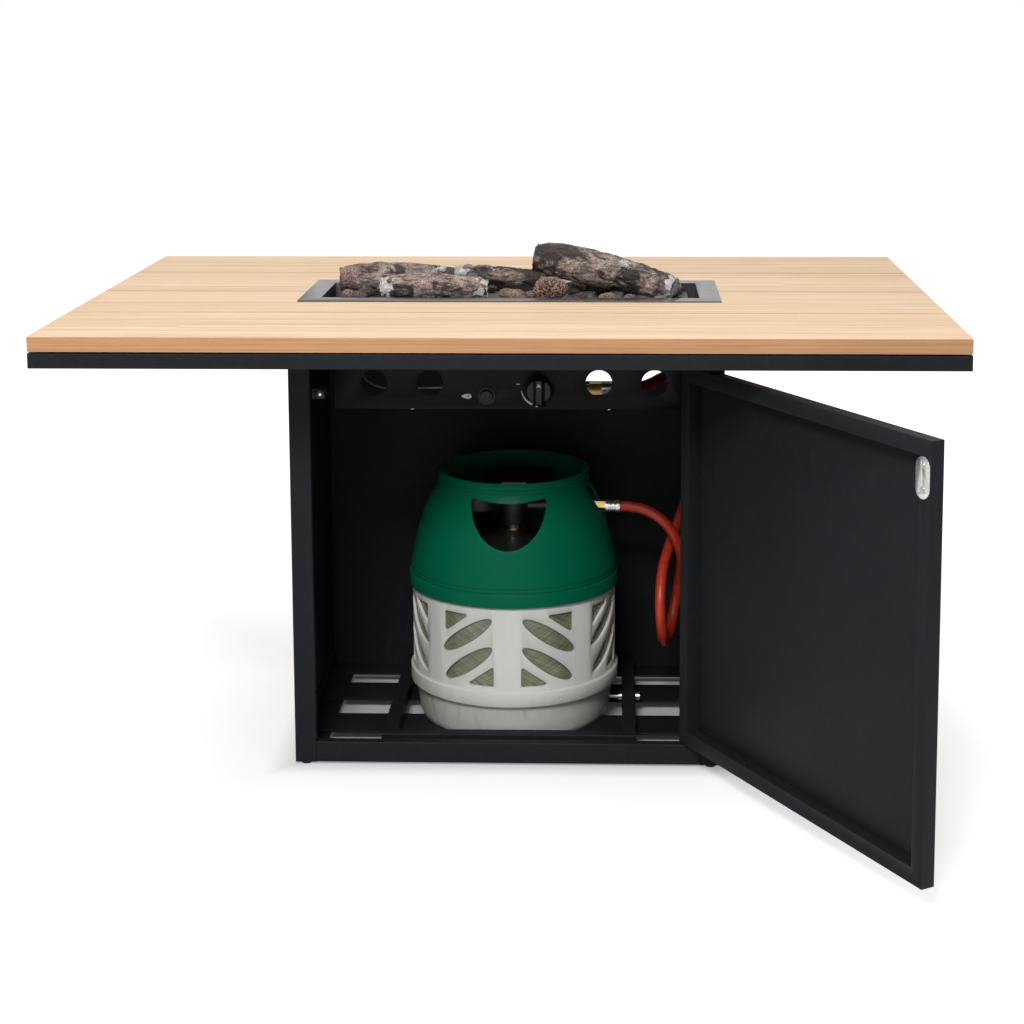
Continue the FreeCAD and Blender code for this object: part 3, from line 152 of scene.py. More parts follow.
class Net:
    """A short way to place and wire nodes in one tree."""

    def __init__(self, tree):
        self.tree = tree

    def link(self, value, target):
        """Wire an output to an input."""
        self.tree.links.new(value, target)

    def node(self, kind, values=None, **settings):
        """A node with its settings, and with values or links on its inputs."""
        made = self.tree.nodes.new(kind)
        for key, value in settings.items():
            setattr(made, key, value)
        for key, value in (values or {}).items():
            if is_socket(value):
                self.link(value, made.inputs[key])
            else:
                made.inputs[key].default_value = value
        return made

    def math(self, operation, first, second=0.0):
        """One sum of one or two values."""
        return self.node("ShaderNodeMath", {0: first, 1: second}, operation=operation).outputs[0]

    def plus(self, first, second):
        """Two values added."""
        return self.math("ADD", first, second)

    def minus(self, first, second):
        """The second value taken from the first."""
        return self.math("SUBTRACT", first, second)

    def times(self, first, second):
        """Two values multiplied."""
        return self.math("MULTIPLY", first, second)

    def size_of(self, value):
        """A value without its sign."""
        return self.math("ABSOLUTE", value)

    def mix(self, factor, first, second, blend="MIX"):
        """A blend of two colours."""
        first, second = (part if is_socket(part) else (*part[:3], 1.0) for part in (first, second))
        return self.node("ShaderNodeMix", {0: factor, 6: first, 7: second}, data_type="RGBA",
                         blend_type=blend).outputs[2]

    def toned(self, colour, tone):
        """A colour made lighter or darker by a value."""
        grey = self.node("ShaderNodeCombineColor", {0: tone, 1: tone, 2: tone}).outputs[0]
        return self.mix(1.0, colour, grey, "MULTIPLY")

    def band(self, value, low, high, start=0.0, end=1.0):
        """Carry a value from one range to another, held at the ends."""
        return self.node("ShaderNodeMapRange", {0: value, 1: low, 2: high, 3: start, 4: end}).outputs[0]

    def noise(self, vector, scale, detail=4.0, rough=0.55, distortion=0.0):
        """Soft noise, with one scale or one for each axis."""
        if isinstance(scale, tuple):
            vector, scale = self.stretch(vector, scale), 1.0
        return self.node("ShaderNodeTexNoise", {
            "Vector": vector, "Scale": scale, "Detail": detail, "Roughness": rough,
            "Distortion": distortion}).outputs[0]

    def stretch(self, vector, scale=(1.0, 1.0, 1.0), place=(0.0, 0.0, 0.0)):
        """Scale and shift a position."""
        return self.node("ShaderNodeMapping", {
            "Vector": vector, "Scale": scale, "Location": place}).outputs[0]

    def vector_sum(self, operation, first, second):
        """One sum of two vectors."""
        return self.node("ShaderNodeVectorMath", {0: first, 1: second}, operation=operation).outputs[0]

    def position(self):
        """Object coordinates."""
        return self.node("ShaderNodeTexCoord").outputs["Object"]

    def split(self, vector):
        """The three values of a vector."""
        return self.node("ShaderNodeSeparateXYZ", {0: vector}).outputs[:3]

    def facing(self):
        """The surface's own direction, in three values."""
        return self.split(self.node("ShaderNodeTexCoord").outputs["Normal"])

    def attribute(self, name):
        """A value that the mesh carries."""
        return self.node("ShaderNodeAttribute", attribute_name=name).outputs["Fac"]

    def effect(self, name, values):
        """One of the shared effects."""
        return self.node("ShaderNodeGroup", values, node_tree=shared_effect(name)).outputs

    def handling(self, place, gloss):
        """The handling effect between two values of roughness."""
        return self.effect("Handling", {"Vector": place, "Gloss low": gloss[0], "Gloss high": gloss[1]})

    def coat_grain(self, place, scale):
        """The height of the coat grain effect."""
        return self.effect("Coat grain", {"Vector": place, "Scale": scale})["Height"]

    def relief(self, height, strength, distance):
        """A bump from a height, with its depth in metres."""
        return self.node("ShaderNodeBump", {
            "Height": height, "Strength": strength, "Distance": distance}).outputs[0]


def effect_sockets(name, inputs, outputs):
    """An empty effect with its named inputs and their defaults, and its outputs."""
    tree = bpy.data.node_groups.new(name, "ShaderNodeTree")
    for label, value in inputs.items():
        kind = "NodeSocketFloat" if isinstance(value, float) else "NodeSocketVector"
        tree.interface.new_socket(label, in_out="INPUT", socket_type=kind).default_value = value
    for label in outputs:
        tree.interface.new_socket(label, in_out="OUTPUT", socket_type="NodeSocketFloat")
    net = Net(tree)
    return net, net.node("NodeGroupInput").outputs, net.node("NodeGroupOutput").inputs


def shared_effect(name):
    """The effect of that name, built on its first use."""
    found = bpy.data.node_groups.get(name)
    if found is None:
        EFFECTS[name](name)
        found = bpy.data.node_groups[name]
    return found


def build_coat_grain(name):
    """Fine orange peel of a sprayed or moulded surface."""
    net, given, out = effect_sockets(name, {"Vector": (0.0, 0.0, 0.0), "Scale": 900.0}, ["Height"])
    fine = net.noise(given["Vector"], given["Scale"], 2.0, 0.5)
    broad = net.noise(given["Vector"], net.times(given["Scale"], 0.13), 2.0, 0.5)
    net.link(net.plus(fine, net.times(broad, 0.6)), out["Height"])


def build_handling(name):
    """Cloudy smudges and dust that vary gloss and tone."""
    net, given, out = effect_sockets(
        name, {"Vector": (0.0, 0.0, 0.0), "Gloss low": 0.4, "Gloss high": 0.6}, ["Roughness", "Dust"])
    cloud = net.noise(given["Vector"], 7.0, 5.0, 0.6, 0.6)
    fine = net.noise(net.stretch(given["Vector"], place=(3.0, 1.0, 2.0)), 90.0, 4.0, 0.65)
    both = net.plus(net.times(cloud, 0.7), net.times(fine, 0.3))
    net.link(net.band(both, 0.35, 0.65, given["Gloss low"], given["Gloss high"]), out["Roughness"])
    net.link(net.band(fine, 0.52, 0.8), out["Dust"])


def build_brushing(name):
    """Fine lines of drawn, turned or brushed metal, along the axis with the smallest scale."""
    net, given, out = effect_sockets(
        name, {"Vector": (0.0, 0.0, 0.0), "Stretch": (40.0, 1200.0, 1200.0)}, ["Height", "Tone"])
    lines = net.noise(net.vector_sum("MULTIPLY", given["Vector"], given["Stretch"]), 1.0, 3.0, 0.6)
    net.link(lines, out["Height"])
    net.link(net.band(lines, 0.3, 0.7, 0.82, 1.12), out["Tone"])


EFFECTS = {"Coat grain": build_coat_grain, "Handling": build_handling, "Brushing": build_brushing}


# Finishes


def new_finish(name, metallic=0.0, ior=1.5, coat=0.0, coat_rough=0.1, shine=0.5):
    """A material with its shader, whose constant values are set on the shader itself."""
    material = bpy.data.materials.new(name)
    material.use_nodes = True
    shader = material.node_tree.nodes["Principled BSDF"]
    for socket, value in (("Metallic", metallic), ("IOR", ior), ("Specular IOR Level", shine),
                          ("Coat Weight", coat), ("Coat Roughness", coat_rough)):
        shader.inputs[socket].default_value = value
    return material, Net(material.node_tree), shader


def feed(net, shader, colour, rough, normal):
    """Wire the three surface inputs."""
    net.link(colour, shader.inputs["Base Color"])
    net.link(rough, shader.inputs["Roughness"])
    net.link(normal, shader.inputs["Normal"])


def shade(colour, share):
    """A colour made darker or lighter."""
    return [min(1.0, part * share) for part in colour]


def coated(name, colour, gloss, grain, depth, dust, shine, ior=1.5, coat=0.0):
    """Powder coat, paint or moulded plastic: fine grain, cloudy gloss, a little dust."""
    material, net, shader = new_finish(name, coat=coat, shine=shine, ior=ior)
    place = net.position()
    handling = net.handling(place, gloss)
    tone = net.mix(net.band(net.noise(place, 3.0, 3.0), 0.3, 0.7), shade(colour, 0.9), shade(colour, 1.1))
    dusty = net.mix(net.times(handling["Dust"], dust), tone, (0.5, 0.48, 0.45))
    feed(net, shader, dusty, handling["Roughness"], net.relief(net.coat_grain(place, grain), 1.0, depth))
    return material


def metal(name, colour, gloss, stretch=(40.0, 1200.0, 1200.0), depth=0.00002, tint=None):
    """Bare metal with fine working lines and a patchy tint."""
    material, net, shader = new_finish(name, metallic=1.0)
    place = net.position()
    lines = net.effect("Brushing", {"Vector": place, "Stretch": stretch})
    patches = net.band(net.noise(place, 24.0, 5.0, 0.65, 0.8), 0.45, 0.7)
    base = net.mix(patches, colour, tint or shade(colour, 0.8))
    feed(net, shader, net.toned(base, lines["Tone"]), net.handling(place, gloss)["Roughness"],
         net.relief(lines["Height"], 1.0, depth))
    return material


def rubber(name, colour, gloss):
    """Extruded rubber or silicone with a soft bloom."""
    material, net, shader = new_finish(name, ior=1.48)
    place = net.position()
    handling = net.handling(place, gloss)
    mottle = net.noise(place, 120.0, 4.0, 0.6)
    tone = net.mix(net.band(mottle, 0.35, 0.7), shade(colour, 0.86), colour)
    bloom = net.mix(net.times(handling["Dust"], 0.10), tone, (0.55, 0.42, 0.36))
    feed(net, shader, bloom, handling["Roughness"], net.relief(net.coat_grain(place, 1500.0), 1.0, 0.00005))
    return material


def white_print(name):
    """Printed white ink, a little uneven."""
    material, net, shader = new_finish(name)
    place = net.position()
    tone = net.mix(net.band(net.noise(place, 500.0, 3.0), 0.4, 0.7), [0.74] * 3, [0.84] * 3)
    feed(net, shader, tone, net.handling(place, (0.45, 0.6))["Roughness"],
         net.relief(net.coat_grain(place, 1500.0), 1.0, 0.00003))
    return material


def gap_shade_mask(net, y):
    """Painted shade beside the gaps between the boards."""
    # The painted shade is full close to a gap and fades out further away
    half_gap, shade_fades_by, fully_shaded_within = 0.5 * MM, 3.2 * MM, 1.0 * MM
    mask = 0.0
    for node in ("front_middle_board", "rear_middle_board", "rear_board"):
        away = net.size_of(net.minus(y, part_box(node)[0].y - half_gap))
        mask = net.math("MAXIMUM", mask, net.band(away, fully_shaded_within, shade_fades_by, 1.0, 0.0))
    return mask


def teak(name):
    """Oiled teak: glued staves of their own tone, straight grain along X, pores and end grain."""
    # The fourth colour is the painted shade beside the boards' gaps
    warm, pore, glue, seam_shade = (0.70, 0.47, 0.29), (0.34, 0.19, 0.09), (0.36, 0.20, 0.10), (0.20, 0.10, 0.05)
    # The third colour makes the boards' sides redder, and darker as painted shade
    end_pale, end_dark, redder_sides_with_shade = (0.62, 0.42, 0.27), (0.44, 0.27, 0.15), (0.86, 0.67, 0.53)
    material, net, shader = new_finish(name, shine=0.3)
    place = net.position()
    x, y, z = net.split(place)
    faces_end, faces_side = (net.size_of(part) for part in net.facing()[:2])
    # Each stave has its own tone and hue, and its own stretch of the grain
    rows = net.math("DIVIDE", y, sizes().stave)
    row = net.math("FLOOR", rows)
    start = net.node("ShaderNodeTexWhiteNoise", {"W": row}, noise_dimensions="1D").outputs["Value"]
    run = net.math("FLOOR", net.plus(net.math("DIVIDE", x, sizes().stave_run), net.times(start, 5.0)))
    key = net.node("ShaderNodeCombineXYZ", {0: row, 1: run, 2: 3.7}).outputs[0]
    stave = net.node("ShaderNodeTexWhiteNoise", {"Vector": key}, noise_dimensions="3D").outputs
    tone, hue = stave["Value"], stave["Color"]
    away = net.node("ShaderNodeVectorMath", {0: hue, "Scale": 9.0}, operation="SCALE").outputs[0]
    shifted = net.vector_sum("ADD", place, away)
    # Grain from broad to fine, and its share in the tone
    wander = net.noise(shifted, (1.3, 12.0, 12.0), 3.0, 0.5)
    bent = net.plus(net.split(shifted)[1], net.times(wander, 0.06))
    rings = net.math("SINE", net.times(bent, 430.0))
    broad = net.noise(shifted, (1.1, 90.0, 90.0), 4.0, 0.6)
    streak = net.noise(shifted, (2.2, 330.0, 330.0), 5.0, 0.65)
    fine = net.noise(shifted, (9.0, 1100.0, 1100.0), 4.0, 0.6)
    pores = net.band(net.noise(shifted, (60.0, 2600.0, 2600.0), 2.0, 0.5), 0.62, 0.74)
    grain = net.times(net.band(broad, 0.40, 0.64), 0.22)
    for share, part in ((0.46, net.band(streak, 0.42, 0.64)), (0.10, net.band(rings, -0.8, 1.0)),
                        (0.30, net.band(fine, 0.42, 0.66))):
        grain = net.plus(grain, net.times(part, share))
    darkness = net.band(net.plus(net.times(grain, 0.62), net.times(tone, 0.13)), 0.20, 0.66)
    wood = net.mix(darkness, colours().teak_light, colours().teak_dark)
    redness = net.node("ShaderNodeSeparateColor", {0: hue}).outputs[1]
    wood = net.mix(net.band(redness, 0.0, 1.0, 0.0, 0.30), wood, warm)
    wood = net.mix(net.times(pores, 0.3), wood, pore)
    # Glue lines between staves, painted shade beside the boards' gaps, redder sides darkened by painted
    # shade, and the darker ends
    joint = net.band(net.math("PINGPONG", rows, 0.5), 0.004, 0.022, 0.42, 0.0)
    wood = net.mix(net.times(joint, net.band(start, 0.15, 0.75)), wood, glue)
    # Painted shade of the gaps, on the faces beside them
    wood = net.mix(net.times(gap_shade_mask(net, y), net.band(faces_end, 0.3, 0.6, 0.8, 0.0)), wood, seam_shade)
    # Front and back faces: redder grain, and painted shade darkening them
    wood = net.mix(net.band(faces_side, 0.6, 0.95), wood, net.mix(1.0, wood, redder_sides_with_shade, "MULTIPLY"))
    slope = net.math("POWER", net.size_of(net.minus(tone, 0.5)), 0.5)
    end_rings = net.math("SINE", net.times(net.plus(z, net.times(slope, y)), 2600.0))
    end_grain = net.mix(net.band(end_rings, -0.5, 1.0, 0.1, 0.6), end_pale, end_dark)
    wood = net.mix(net.band(faces_end, 0.6, 0.9), wood, end_grain)
    rough = net.plus(net.handling(place, (0.45, 0.62))["Roughness"], net.times(grain, 0.08))
    height = net.minus(net.times(streak, 0.5), pores)
    feed(net, shader, wood, rough, net.relief(height, 0.7, 0.00014))
    return material


def composite(name):
    """Wound glass fibre in greenish resin, with slanting bands of fibre, and painted shade, near black, above
    the foot of the cover.
    """
    radius, lean_of_fibre, cover_shade_from, cover_shade_to = 0.146, 0.55, 0.215, 0.245
    shadow, fibre = (0.060, 0.070, 0.038), (0.27, 0.28, 0.18)
    # The last colour is painted shade, near black, inside the bottle's cover
    haze, neck = (0.105, 0.130, 0.070), (0.012, 0.013, 0.010)
    material, net, shader = new_finish(name, coat=0.35, coat_rough=0.12)
    place = net.position()
    x, y, z = net.split(place)
    around = net.times(net.math("ARCTAN2", y, x), radius)
    ways = []
    for lean in (lean_of_fibre, -lean_of_fibre):
        along = net.plus(z, net.times(around, lean))
        across = net.minus(around, net.times(z, lean))
        key = net.node("ShaderNodeCombineXYZ", {
            0: net.times(across, 16.0), 1: net.times(along, 420.0), 2: lean}).outputs[0]
        ways.append(net.noise(key, 1.0, 5.0, 0.65))
    weave = net.plus(net.times(ways[0], 0.55), net.times(ways[1], 0.45))
    cloud = net.noise(place, 26.0, 4.0, 0.6, 0.5)
    wall = net.mix(net.band(weave, 0.40, 0.62), shadow, fibre)
    wall = net.mix(net.band(cloud, 0.38, 0.68, 0.0, 0.55), wall, haze)
    # Painted shade: near black from the foot of the cover upwards, in its hollow
    wall = net.mix(net.band(z, cover_shade_from, cover_shade_to), wall, neck)
    feed(net, shader, wall, net.handling(place, (0.3, 0.5))["Roughness"], net.relief(weave, 0.5, 0.0003))
    return material


def ceramic(name):
    """Rough ceramic bark: charred patches, brown and pinkish grit, ash on the ends and on top, and painted
    shade in the fissures and carved furrows.
    """
    rosy, grey_ash = (0.38, 0.235, 0.20), (0.36, 0.33, 0.31)
    rust_dark, rust_pale = (0.16, 0.09, 0.08), (0.44, 0.28, 0.25)
    # The first colour is painted shade in the fissures, the last painted shade in the furrows
    fissure_shade, charred, furrow_shade = (0.045, 0.038, 0.036), (0.024, 0.021, 0.021), (0.016, 0.014, 0.014)
    material, net, shader = new_finish(name, ior=1.4)
    place = net.position()
    bark = net.noise(place, (60.0, 170.0, 170.0), 6.0, 0.7, 0.6)
    patches = net.noise(place, 42.0, 5.0, 0.62, 0.7)
    char = net.noise(net.stretch(place, (16.0, 24.0, 24.0), (4.0, 1.0, 7.0)), 1.0, 5.0, 0.62, 0.8)
    grit = net.noise(place, 460.0, 4.0, 0.7)
    rose = net.noise(net.stretch(place, place=(2.0, 5.0, 1.0)), 30.0, 4.0, 0.6)
    log = net.mix(net.band(patches, 0.38, 0.62), colours().bark, shade(colours().bark, 2.0))
    log = net.mix(net.band(rose, 0.5, 0.66, 0.0, 0.7), log, rosy)
    # Painted shade in the bark's fissures, the low parts of its bump
    log = net.mix(net.band(bark, 0.52, 0.40, 0.0, 0.85), log, fissure_shade)
    # Charred patches, made stronger on the undersides as painted shade
    char_with_underside_shade = net.times(net.band(char, 0.49, 0.57), net.band(net.facing()[2], -0.6, 0.9, 1.0, 0.86))
    log = net.mix(char_with_underside_shade, log, charred)
    # Painted shade, near black, in the carved furrows and pits
    log = net.mix(net.times(net.attribute("furrow"), 0.7), log, furrow_shade)
    log = net.toned(log, net.band(grit, 0.34, 0.66, 0.42, 1.5))
    # Ash and rust break up over the grit
    centred = net.minus(grit, 0.5)
    ashen = net.band(net.plus(net.attribute("ash"), net.times(centred, 1.6)), 0.42, 0.66)
    log = net.mix(ashen, log, net.mix(net.band(bark, 0.4, 0.6), grey_ash, colours().ash))
    rusty = net.band(net.plus(net.attribute("rust"), net.times(centred, 1.2)), 0.35, 0.8)
    log = net.mix(net.times(rusty, 0.75), log, net.mix(net.band(grit, 0.4, 0.6), rust_dark, rust_pale))
    height = net.plus(bark, net.times(grit, 0.45))
    feed(net, shader, log, net.band(patches, 0.3, 0.7, 0.78, 0.97), net.relief(height, 1.0, 0.0018))
    return material


def lava(name):
    """Porous lava: pinkish brown to near black stones, with painted shade in their open pits."""
    dark, dark_patch = (0.060, 0.048, 0.045), (0.13, 0.11, 0.10)
    brown, brown_patch = (0.27, 0.165, 0.135), (0.40, 0.28, 0.24)
    material, net, shader = new_finish(name, ior=1.4)
    place = net.position()
    tint = net.attribute("tint")
    patches = net.noise(place, 60.0, 5.0, 0.65, 0.4)
    cells = net.node("ShaderNodeTexVoronoi", {"Vector": place, "Scale": 420.0}).outputs["Distance"]
    pits = net.times(net.band(cells, 0.14, 0.36), net.band(net.attribute("pore"), 0.1, 0.7, 1.0, 0.0))
    grit = net.noise(place, 800.0, 3.0, 0.6)
    stone = net.mix(net.band(patches, 0.4, 0.7, 0.0, 0.6), net.mix(tint, dark, brown),
                    net.mix(tint, dark_patch, brown_patch))
    # Painted shade: the stone darkened in its pits
    colour = net.mix(pits, net.mix(1.0, stone, (0.16, 0.14, 0.14), "MULTIPLY"), stone)
    height = net.plus(pits, net.times(grit, 0.3))
    feed(net, shader, colour, net.band(grit, 0.3, 0.7, 0.82, 0.98), net.relief(height, 0.9, 0.0008))
    return material


def finishes():
    """Every finish by its name: one for each slot of the record, and the scene's own."""
    tones = colours()
    # Name, colour, roughness from and to, scale and depth of the grain, dust, shine, refraction, clear coat
    coats = (
        ("charcoal_paint", tones.paint, (0.44, 0.58), 1100.0, 0.00005, 0.012, 0.10),
        ("black_paint", (0.0075, 0.0075, 0.0082), (0.40, 0.54), 1300.0, 0.00004, 0.012, 0.10),
        ("grey_paint", tones.flange, (0.24, 0.34), 800.0, 0.00004, 0.05, 0.5, 1.9),
        ("black_nylon", (0.016, 0.016, 0.017), (0.45, 0.6), 1500.0, 0.00003, 0.06, 0.3),
        ("black_plastic", (0.009, 0.009, 0.010), (0.35, 0.5), 1600.0, 0.00003, 0.03, 0.2),
        ("knob_plastic", (0.013, 0.013, 0.014), (0.30, 0.44), 1600.0, 0.00003, 0.02, 0.25),
        ("button_plastic", (0.006, 0.006, 0.007), (0.24, 0.38), 1600.0, 0.00002, 0.01, 0.2),
        ("switch_plastic", (0.26, 0.26, 0.25), (0.35, 0.5), 1400.0, 0.00003, 0.06, 0.3),
        ("jacket_plastic", tones.jacket, (0.36, 0.5), 700.0, 0.00005, 0.05, 0.4),
        ("green_plastic", tones.cover, (0.34, 0.48), 650.0, 0.00007, 0.004, 0.06),
        ("ceramic_white", (0.74, 0.71, 0.64), (0.12, 0.25), 500.0, 0.00003, 0.10, 0.3, 1.5, 0.3))
    # Name, colour, roughness from and to, scale of the working lines, their depth, colour of the patches
    metals = (
        ("burner_steel", (0.11, 0.105, 0.1), (0.45, 0.7), (30.0, 400.0, 400.0), 0.00003, (0.07, 0.05, 0.045)),
        ("zinc_steel", (0.55, 0.56, 0.57), (0.3, 0.45), (600.0, 600.0, 60.0), 0.00001, (0.42, 0.42, 0.38)),
        ("satin_steel", (0.64, 0.64, 0.62), (0.26, 0.4), (60.0, 60.0, 1400.0)),
        ("dark_nickel", (0.035, 0.035, 0.037), (0.35, 0.5), (900.0, 60.0, 900.0)),
        ("bronze", (0.50, 0.34, 0.16), (0.35, 0.5)),
        ("brass", (0.78, 0.55, 0.24), (0.22, 0.36), (900.0, 300.0, 300.0), 0.00001, (0.62, 0.40, 0.17)),
        # The cast aluminium is near black as painted shade: the regulator sits in the shaded hollow of the
        # bottle's cover
        ("cast_aluminium", (0.075, 0.075, 0.076), (0.5, 0.65), (500.0, 500.0, 500.0), 0.00008),
        ("copper_pipe", (0.72, 0.36, 0.22), (0.25, 0.4), (900.0, 200.0, 200.0), 0.00001, (0.40, 0.18, 0.10)),
        ("copper_lead", (0.70, 0.35, 0.21), (0.3, 0.45), (900.0, 900.0, 900.0), 0.00001))
    rubbers = (("cream_silicone", (0.70, 0.63, 0.48), (0.4, 0.55)), ("red_rubber", tones.hose, (0.36, 0.50)))
    makers = ((coated, coats), (metal, metals), (rubber, rubbers), (teak, [["teak"]]), (lava, [["lava"]]),
              (composite, [["composite"]]), (ceramic, [["ceramic_log"]]), (white_print, [["white_print"]]))
    return {row[0]: make(*row) for make, rows in makers for row in rows}


class FIRETABLE_OT_finishes(bpy.types.Operator):
    """Give every node of the frame the finish of its slot"""

    bl_idname = "firetable.finishes"
    bl_label = "Finishes"

    def execute(self, context):
        MADE.update(finishes())
        for row in frame["record"]["subparts"]:
            for holder in frame["nodes"][row["node"]].material_slots:
                holder.material = MADE[row["material_slot"]]
        return {"FINISHED"}


# Ways to make a piece


def placed(name, data):
    """A new object of the scene."""
    thing = bpy.data.objects.new(name, data)
    bpy.context.scene.collection.objects.link(thing)
    return thing


def shown(piece, body, slot, replaced=(), finish=None):
    """Give a piece its finish, that of its slot unless another finish is given, and its body, and hide what
    it stands for.
    """
    piece.data.materials.clear()
    piece.data.materials.append(MADE[finish or slot])
    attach(piece, body)
    if replaced:
        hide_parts(*replaced)
    return piece


def smooth_shaded(bm, below):
    """Shade smooth, except across edges that turn by more than an angle in degrees."""
    for face in bm.faces:
        face.smooth = True
    for edge in bm.edges:
        edge.smooth = len(edge.link_faces) == 2 and edge.calc_face_angle(0.0) < math.radians(below)


def as_mesh(bm, name):
    """The finished bmesh as a mesh."""
    mesh = bpy.data.meshes.new(name)
    bm.to_mesh(mesh)
    bm.free()
    return mesh


def from_bmesh(bm, name, smooth_below=35.0):
    """An object from a bmesh, with its doubles merged and its faces turned outwards."""
    bmesh.ops.remove_doubles(bm, verts=bm.verts, dist=1e-6)
    bmesh.ops.recalc_face_normals(bm, faces=bm.faces)
    smooth_shaded(bm, smooth_below)
    return placed(name, as_mesh(bm, name))


def eased_copy(node, name, body, slot, width, angle=30.0):
    """A node's own form with its cut edges rounded."""
    bm = bmesh.new()
    bm.from_mesh(frame["nodes"][node].data)
    bmesh.ops.remove_doubles(bm, verts=bm.verts, dist=1e-5)
    bmesh.ops.dissolve_limit(bm, angle_limit=math.radians(0.5), verts=bm.verts, edges=bm.edges,
                             delimit={"NORMAL"})
    piece = from_bmesh(bm, name, 180.0)
    bevel = piece.modifiers.new("Soft edges", "BEVEL")
    bevel.width = width
    bevel.segments = 2
    bevel.limit_method = "ANGLE"
    bevel.angle_limit = math.radians(angle)
    bevel.harden_normals = True
    return shown(piece, body, slot, (node,))


def round_curve(name, kind, resolution):
    """An empty round curve and its one spline."""
    curve = bpy.data.curves.new(name, "CURVE")
    curve.dimensions = "3D"
    curve.bevel_resolution = 8
    curve.resolution_u = resolution
    curve.use_fill_caps = True
    return curve, curve.splines.new(kind)


def tube_curve(name, places, radius):
    """A smooth round tube along given places, in metres."""
    curve, spline = round_curve(name, "NURBS", 16)
    curve.bevel_depth = radius
    spline.points.add(len(places) - 1)
    for point, place in zip(spline.points, places):
        point.co = (*place, 1.0)
    spline.order_u = 3
    spline.use_endpoint_u = True
    return placed(name, curve)


def rounded(bm, parts, width, segments, affect="EDGES"):
    """Round edges or corners."""
    bmesh.ops.bevel(bm, geom=parts, affect=affect, offset=width, segments=segments, profile=0.5,
                    material=-1, clamp_overlap=True)


def corner_turn(vertex):
    """How far a profile turns at a vertex."""
    if len(vertex.link_edges) != 2:
        return 0.0
    one, two = (edge.other_vert(vertex).co - vertex.co for edge in vertex.link_edges)
    return math.pi - one.angle(two)


def turned(profile, steps, centre=(0.0, 0.0, 0.0), laid_about=None, rounding=0.0):
    """A turned bmesh from a closed profile of (radius, height) in millimetres, laid down about an axis."""
    bm = bmesh.new()
    corners = [bm.verts.new((r * MM, 0.0, h * MM)) for r, h in profile]
    for first, second in zip(corners, corners[1:] + corners[:1]):
        bm.edges.new((first, second))
    if rounding:
        sharp = [vert for vert in bm.verts if corner_turn(vert) > math.radians(8.0)]
        rounded(bm, sharp, rounding, 3, "VERTICES")
    bmesh.ops.spin(bm, geom=list(bm.verts) + list(bm.edges), cent=(0, 0, 0), axis=(0, 0, 1),
                   angle=math.tau, steps=steps, use_merge=True)
    bmesh.ops.remove_doubles(bm, verts=bm.verts, dist=1e-6)
    bmesh.ops.dissolve_degenerate(bm, dist=1e-7, edges=bm.edges)
    if laid_about:
        quarter = Matrix.Rotation(math.pi / 2, 3, laid_about)
        bmesh.ops.rotate(bm, verts=bm.verts, cent=(0, 0, 0), matrix=quarter)
    bmesh.ops.translate(bm, verts=bm.verts, vec=centre)
    return bm


def block(bm, low, high):
    """Add a box between two corners, in millimetres, and return its vertices."""
    made = bmesh.ops.create_cube(bm, size=1.0)["verts"]
    bmesh.ops.scale(bm, verts=made, vec=[(b - a) * MM for a, b in zip(low, high)])
    bmesh.ops.translate(bm, verts=made, vec=[(b + a) / 2 * MM for a, b in zip(low, high)])
    return made


def extruded(bm, faces, way):
    """Pull faces into a solid along a vector."""
    pulled = bmesh.ops.extrude_face_region(bm, geom=faces)["geom"]
    bmesh.ops.translate(bm, verts=[part for part in pulled if isinstance(part, bmesh.types.BMVert)], vec=way)


def baked(thing):
    """The mesh of a curve, or of a piece with its modifiers applied."""
    return bpy.data.meshes.new_from_object(thing.evaluated_get(bpy.context.evaluated_depsgraph_get()))


def apply_modifiers(piece):
    """Keep a piece's finished form as its mesh."""
    mesh = baked(piece)
    piece.modifiers.clear()
    piece.data = mesh


# Camera


# The camera that fits the photograph, with a smaller vertical shift, so that other views stay in the frame
LENS = 69.899
LENS_SHIFT = (-0.04, -0.24)
VIEW_END = 50.0
CAMERA_PLACE = (0.1486, -2.8762, 1.0705)
CAMERA_TURN = (82.3153, 0.1541, 1.7583)


class FIRETABLE_OT_camera(bpy.types.Operator):
    """Place the camera in front of the open door"""

    bl_idname = "firetable.camera"
    bl_label = "Camera"

    def execute(self, context):
        lens = bpy.data.cameras.new("camera")
        lens.lens = LENS
        lens.shift_x, lens.shift_y = LENS_SHIFT
        lens.clip_end = VIEW_END
        camera = placed("camera", lens)
        camera.location = CAMERA_PLACE
        camera.rotation_euler = [math.radians(turn) for turn in CAMERA_TURN]
        context.scene.camera = camera
        return {"FINISHED"}


# Gas hose and ignition lead


HOSE_ROUTE = (
    (0.1572, 0, 0.3235), (0.187, 0, 0.3235), (0.226, -0.006, 0.302), (0.247, -0.002, 0.264),
    (0.251, 0.022, 0.228), (0.247, 0.050, 0.196), (0.241, 0.056, 0.154), (0.233, 0.028, 0.121),
    (0.225, -0.018, 0.118), (0.219, -0.049, 0.147), (0.216, -0.048, 0.194), (0.220, -0.016, 0.232),
    (0.232, 0.024, 0.260),
    (0.250, 0.058, 0.298), (0.269, 0.084, 0.342), (0.281, 0.097, 0.392), (0.280, 0.096, 0.442),
    (0.266, 0.076, 0.486), (0.242, 0.046, 0.512), (0.222, 0.010, 0.518), (0.204, -0.020, 0.513),
    (0.180, -0.036, 0.508), (0.152, -0.036, 0.508))

LEAD_ROUTE = (
    (-0.0347, -0.036, 0.5032), (-0.0347, -0.018, 0.5032), (-0.066, -0.012, 0.504), (-0.112, -0.020, 0.506),
    (-0.156, -0.028, 0.505), (-0.196, -0.028, 0.506), (-0.224, -0.010, 0.520), (-0.234, 0.012, 0.546),
    (-0.234, 0.012, 0.5715))

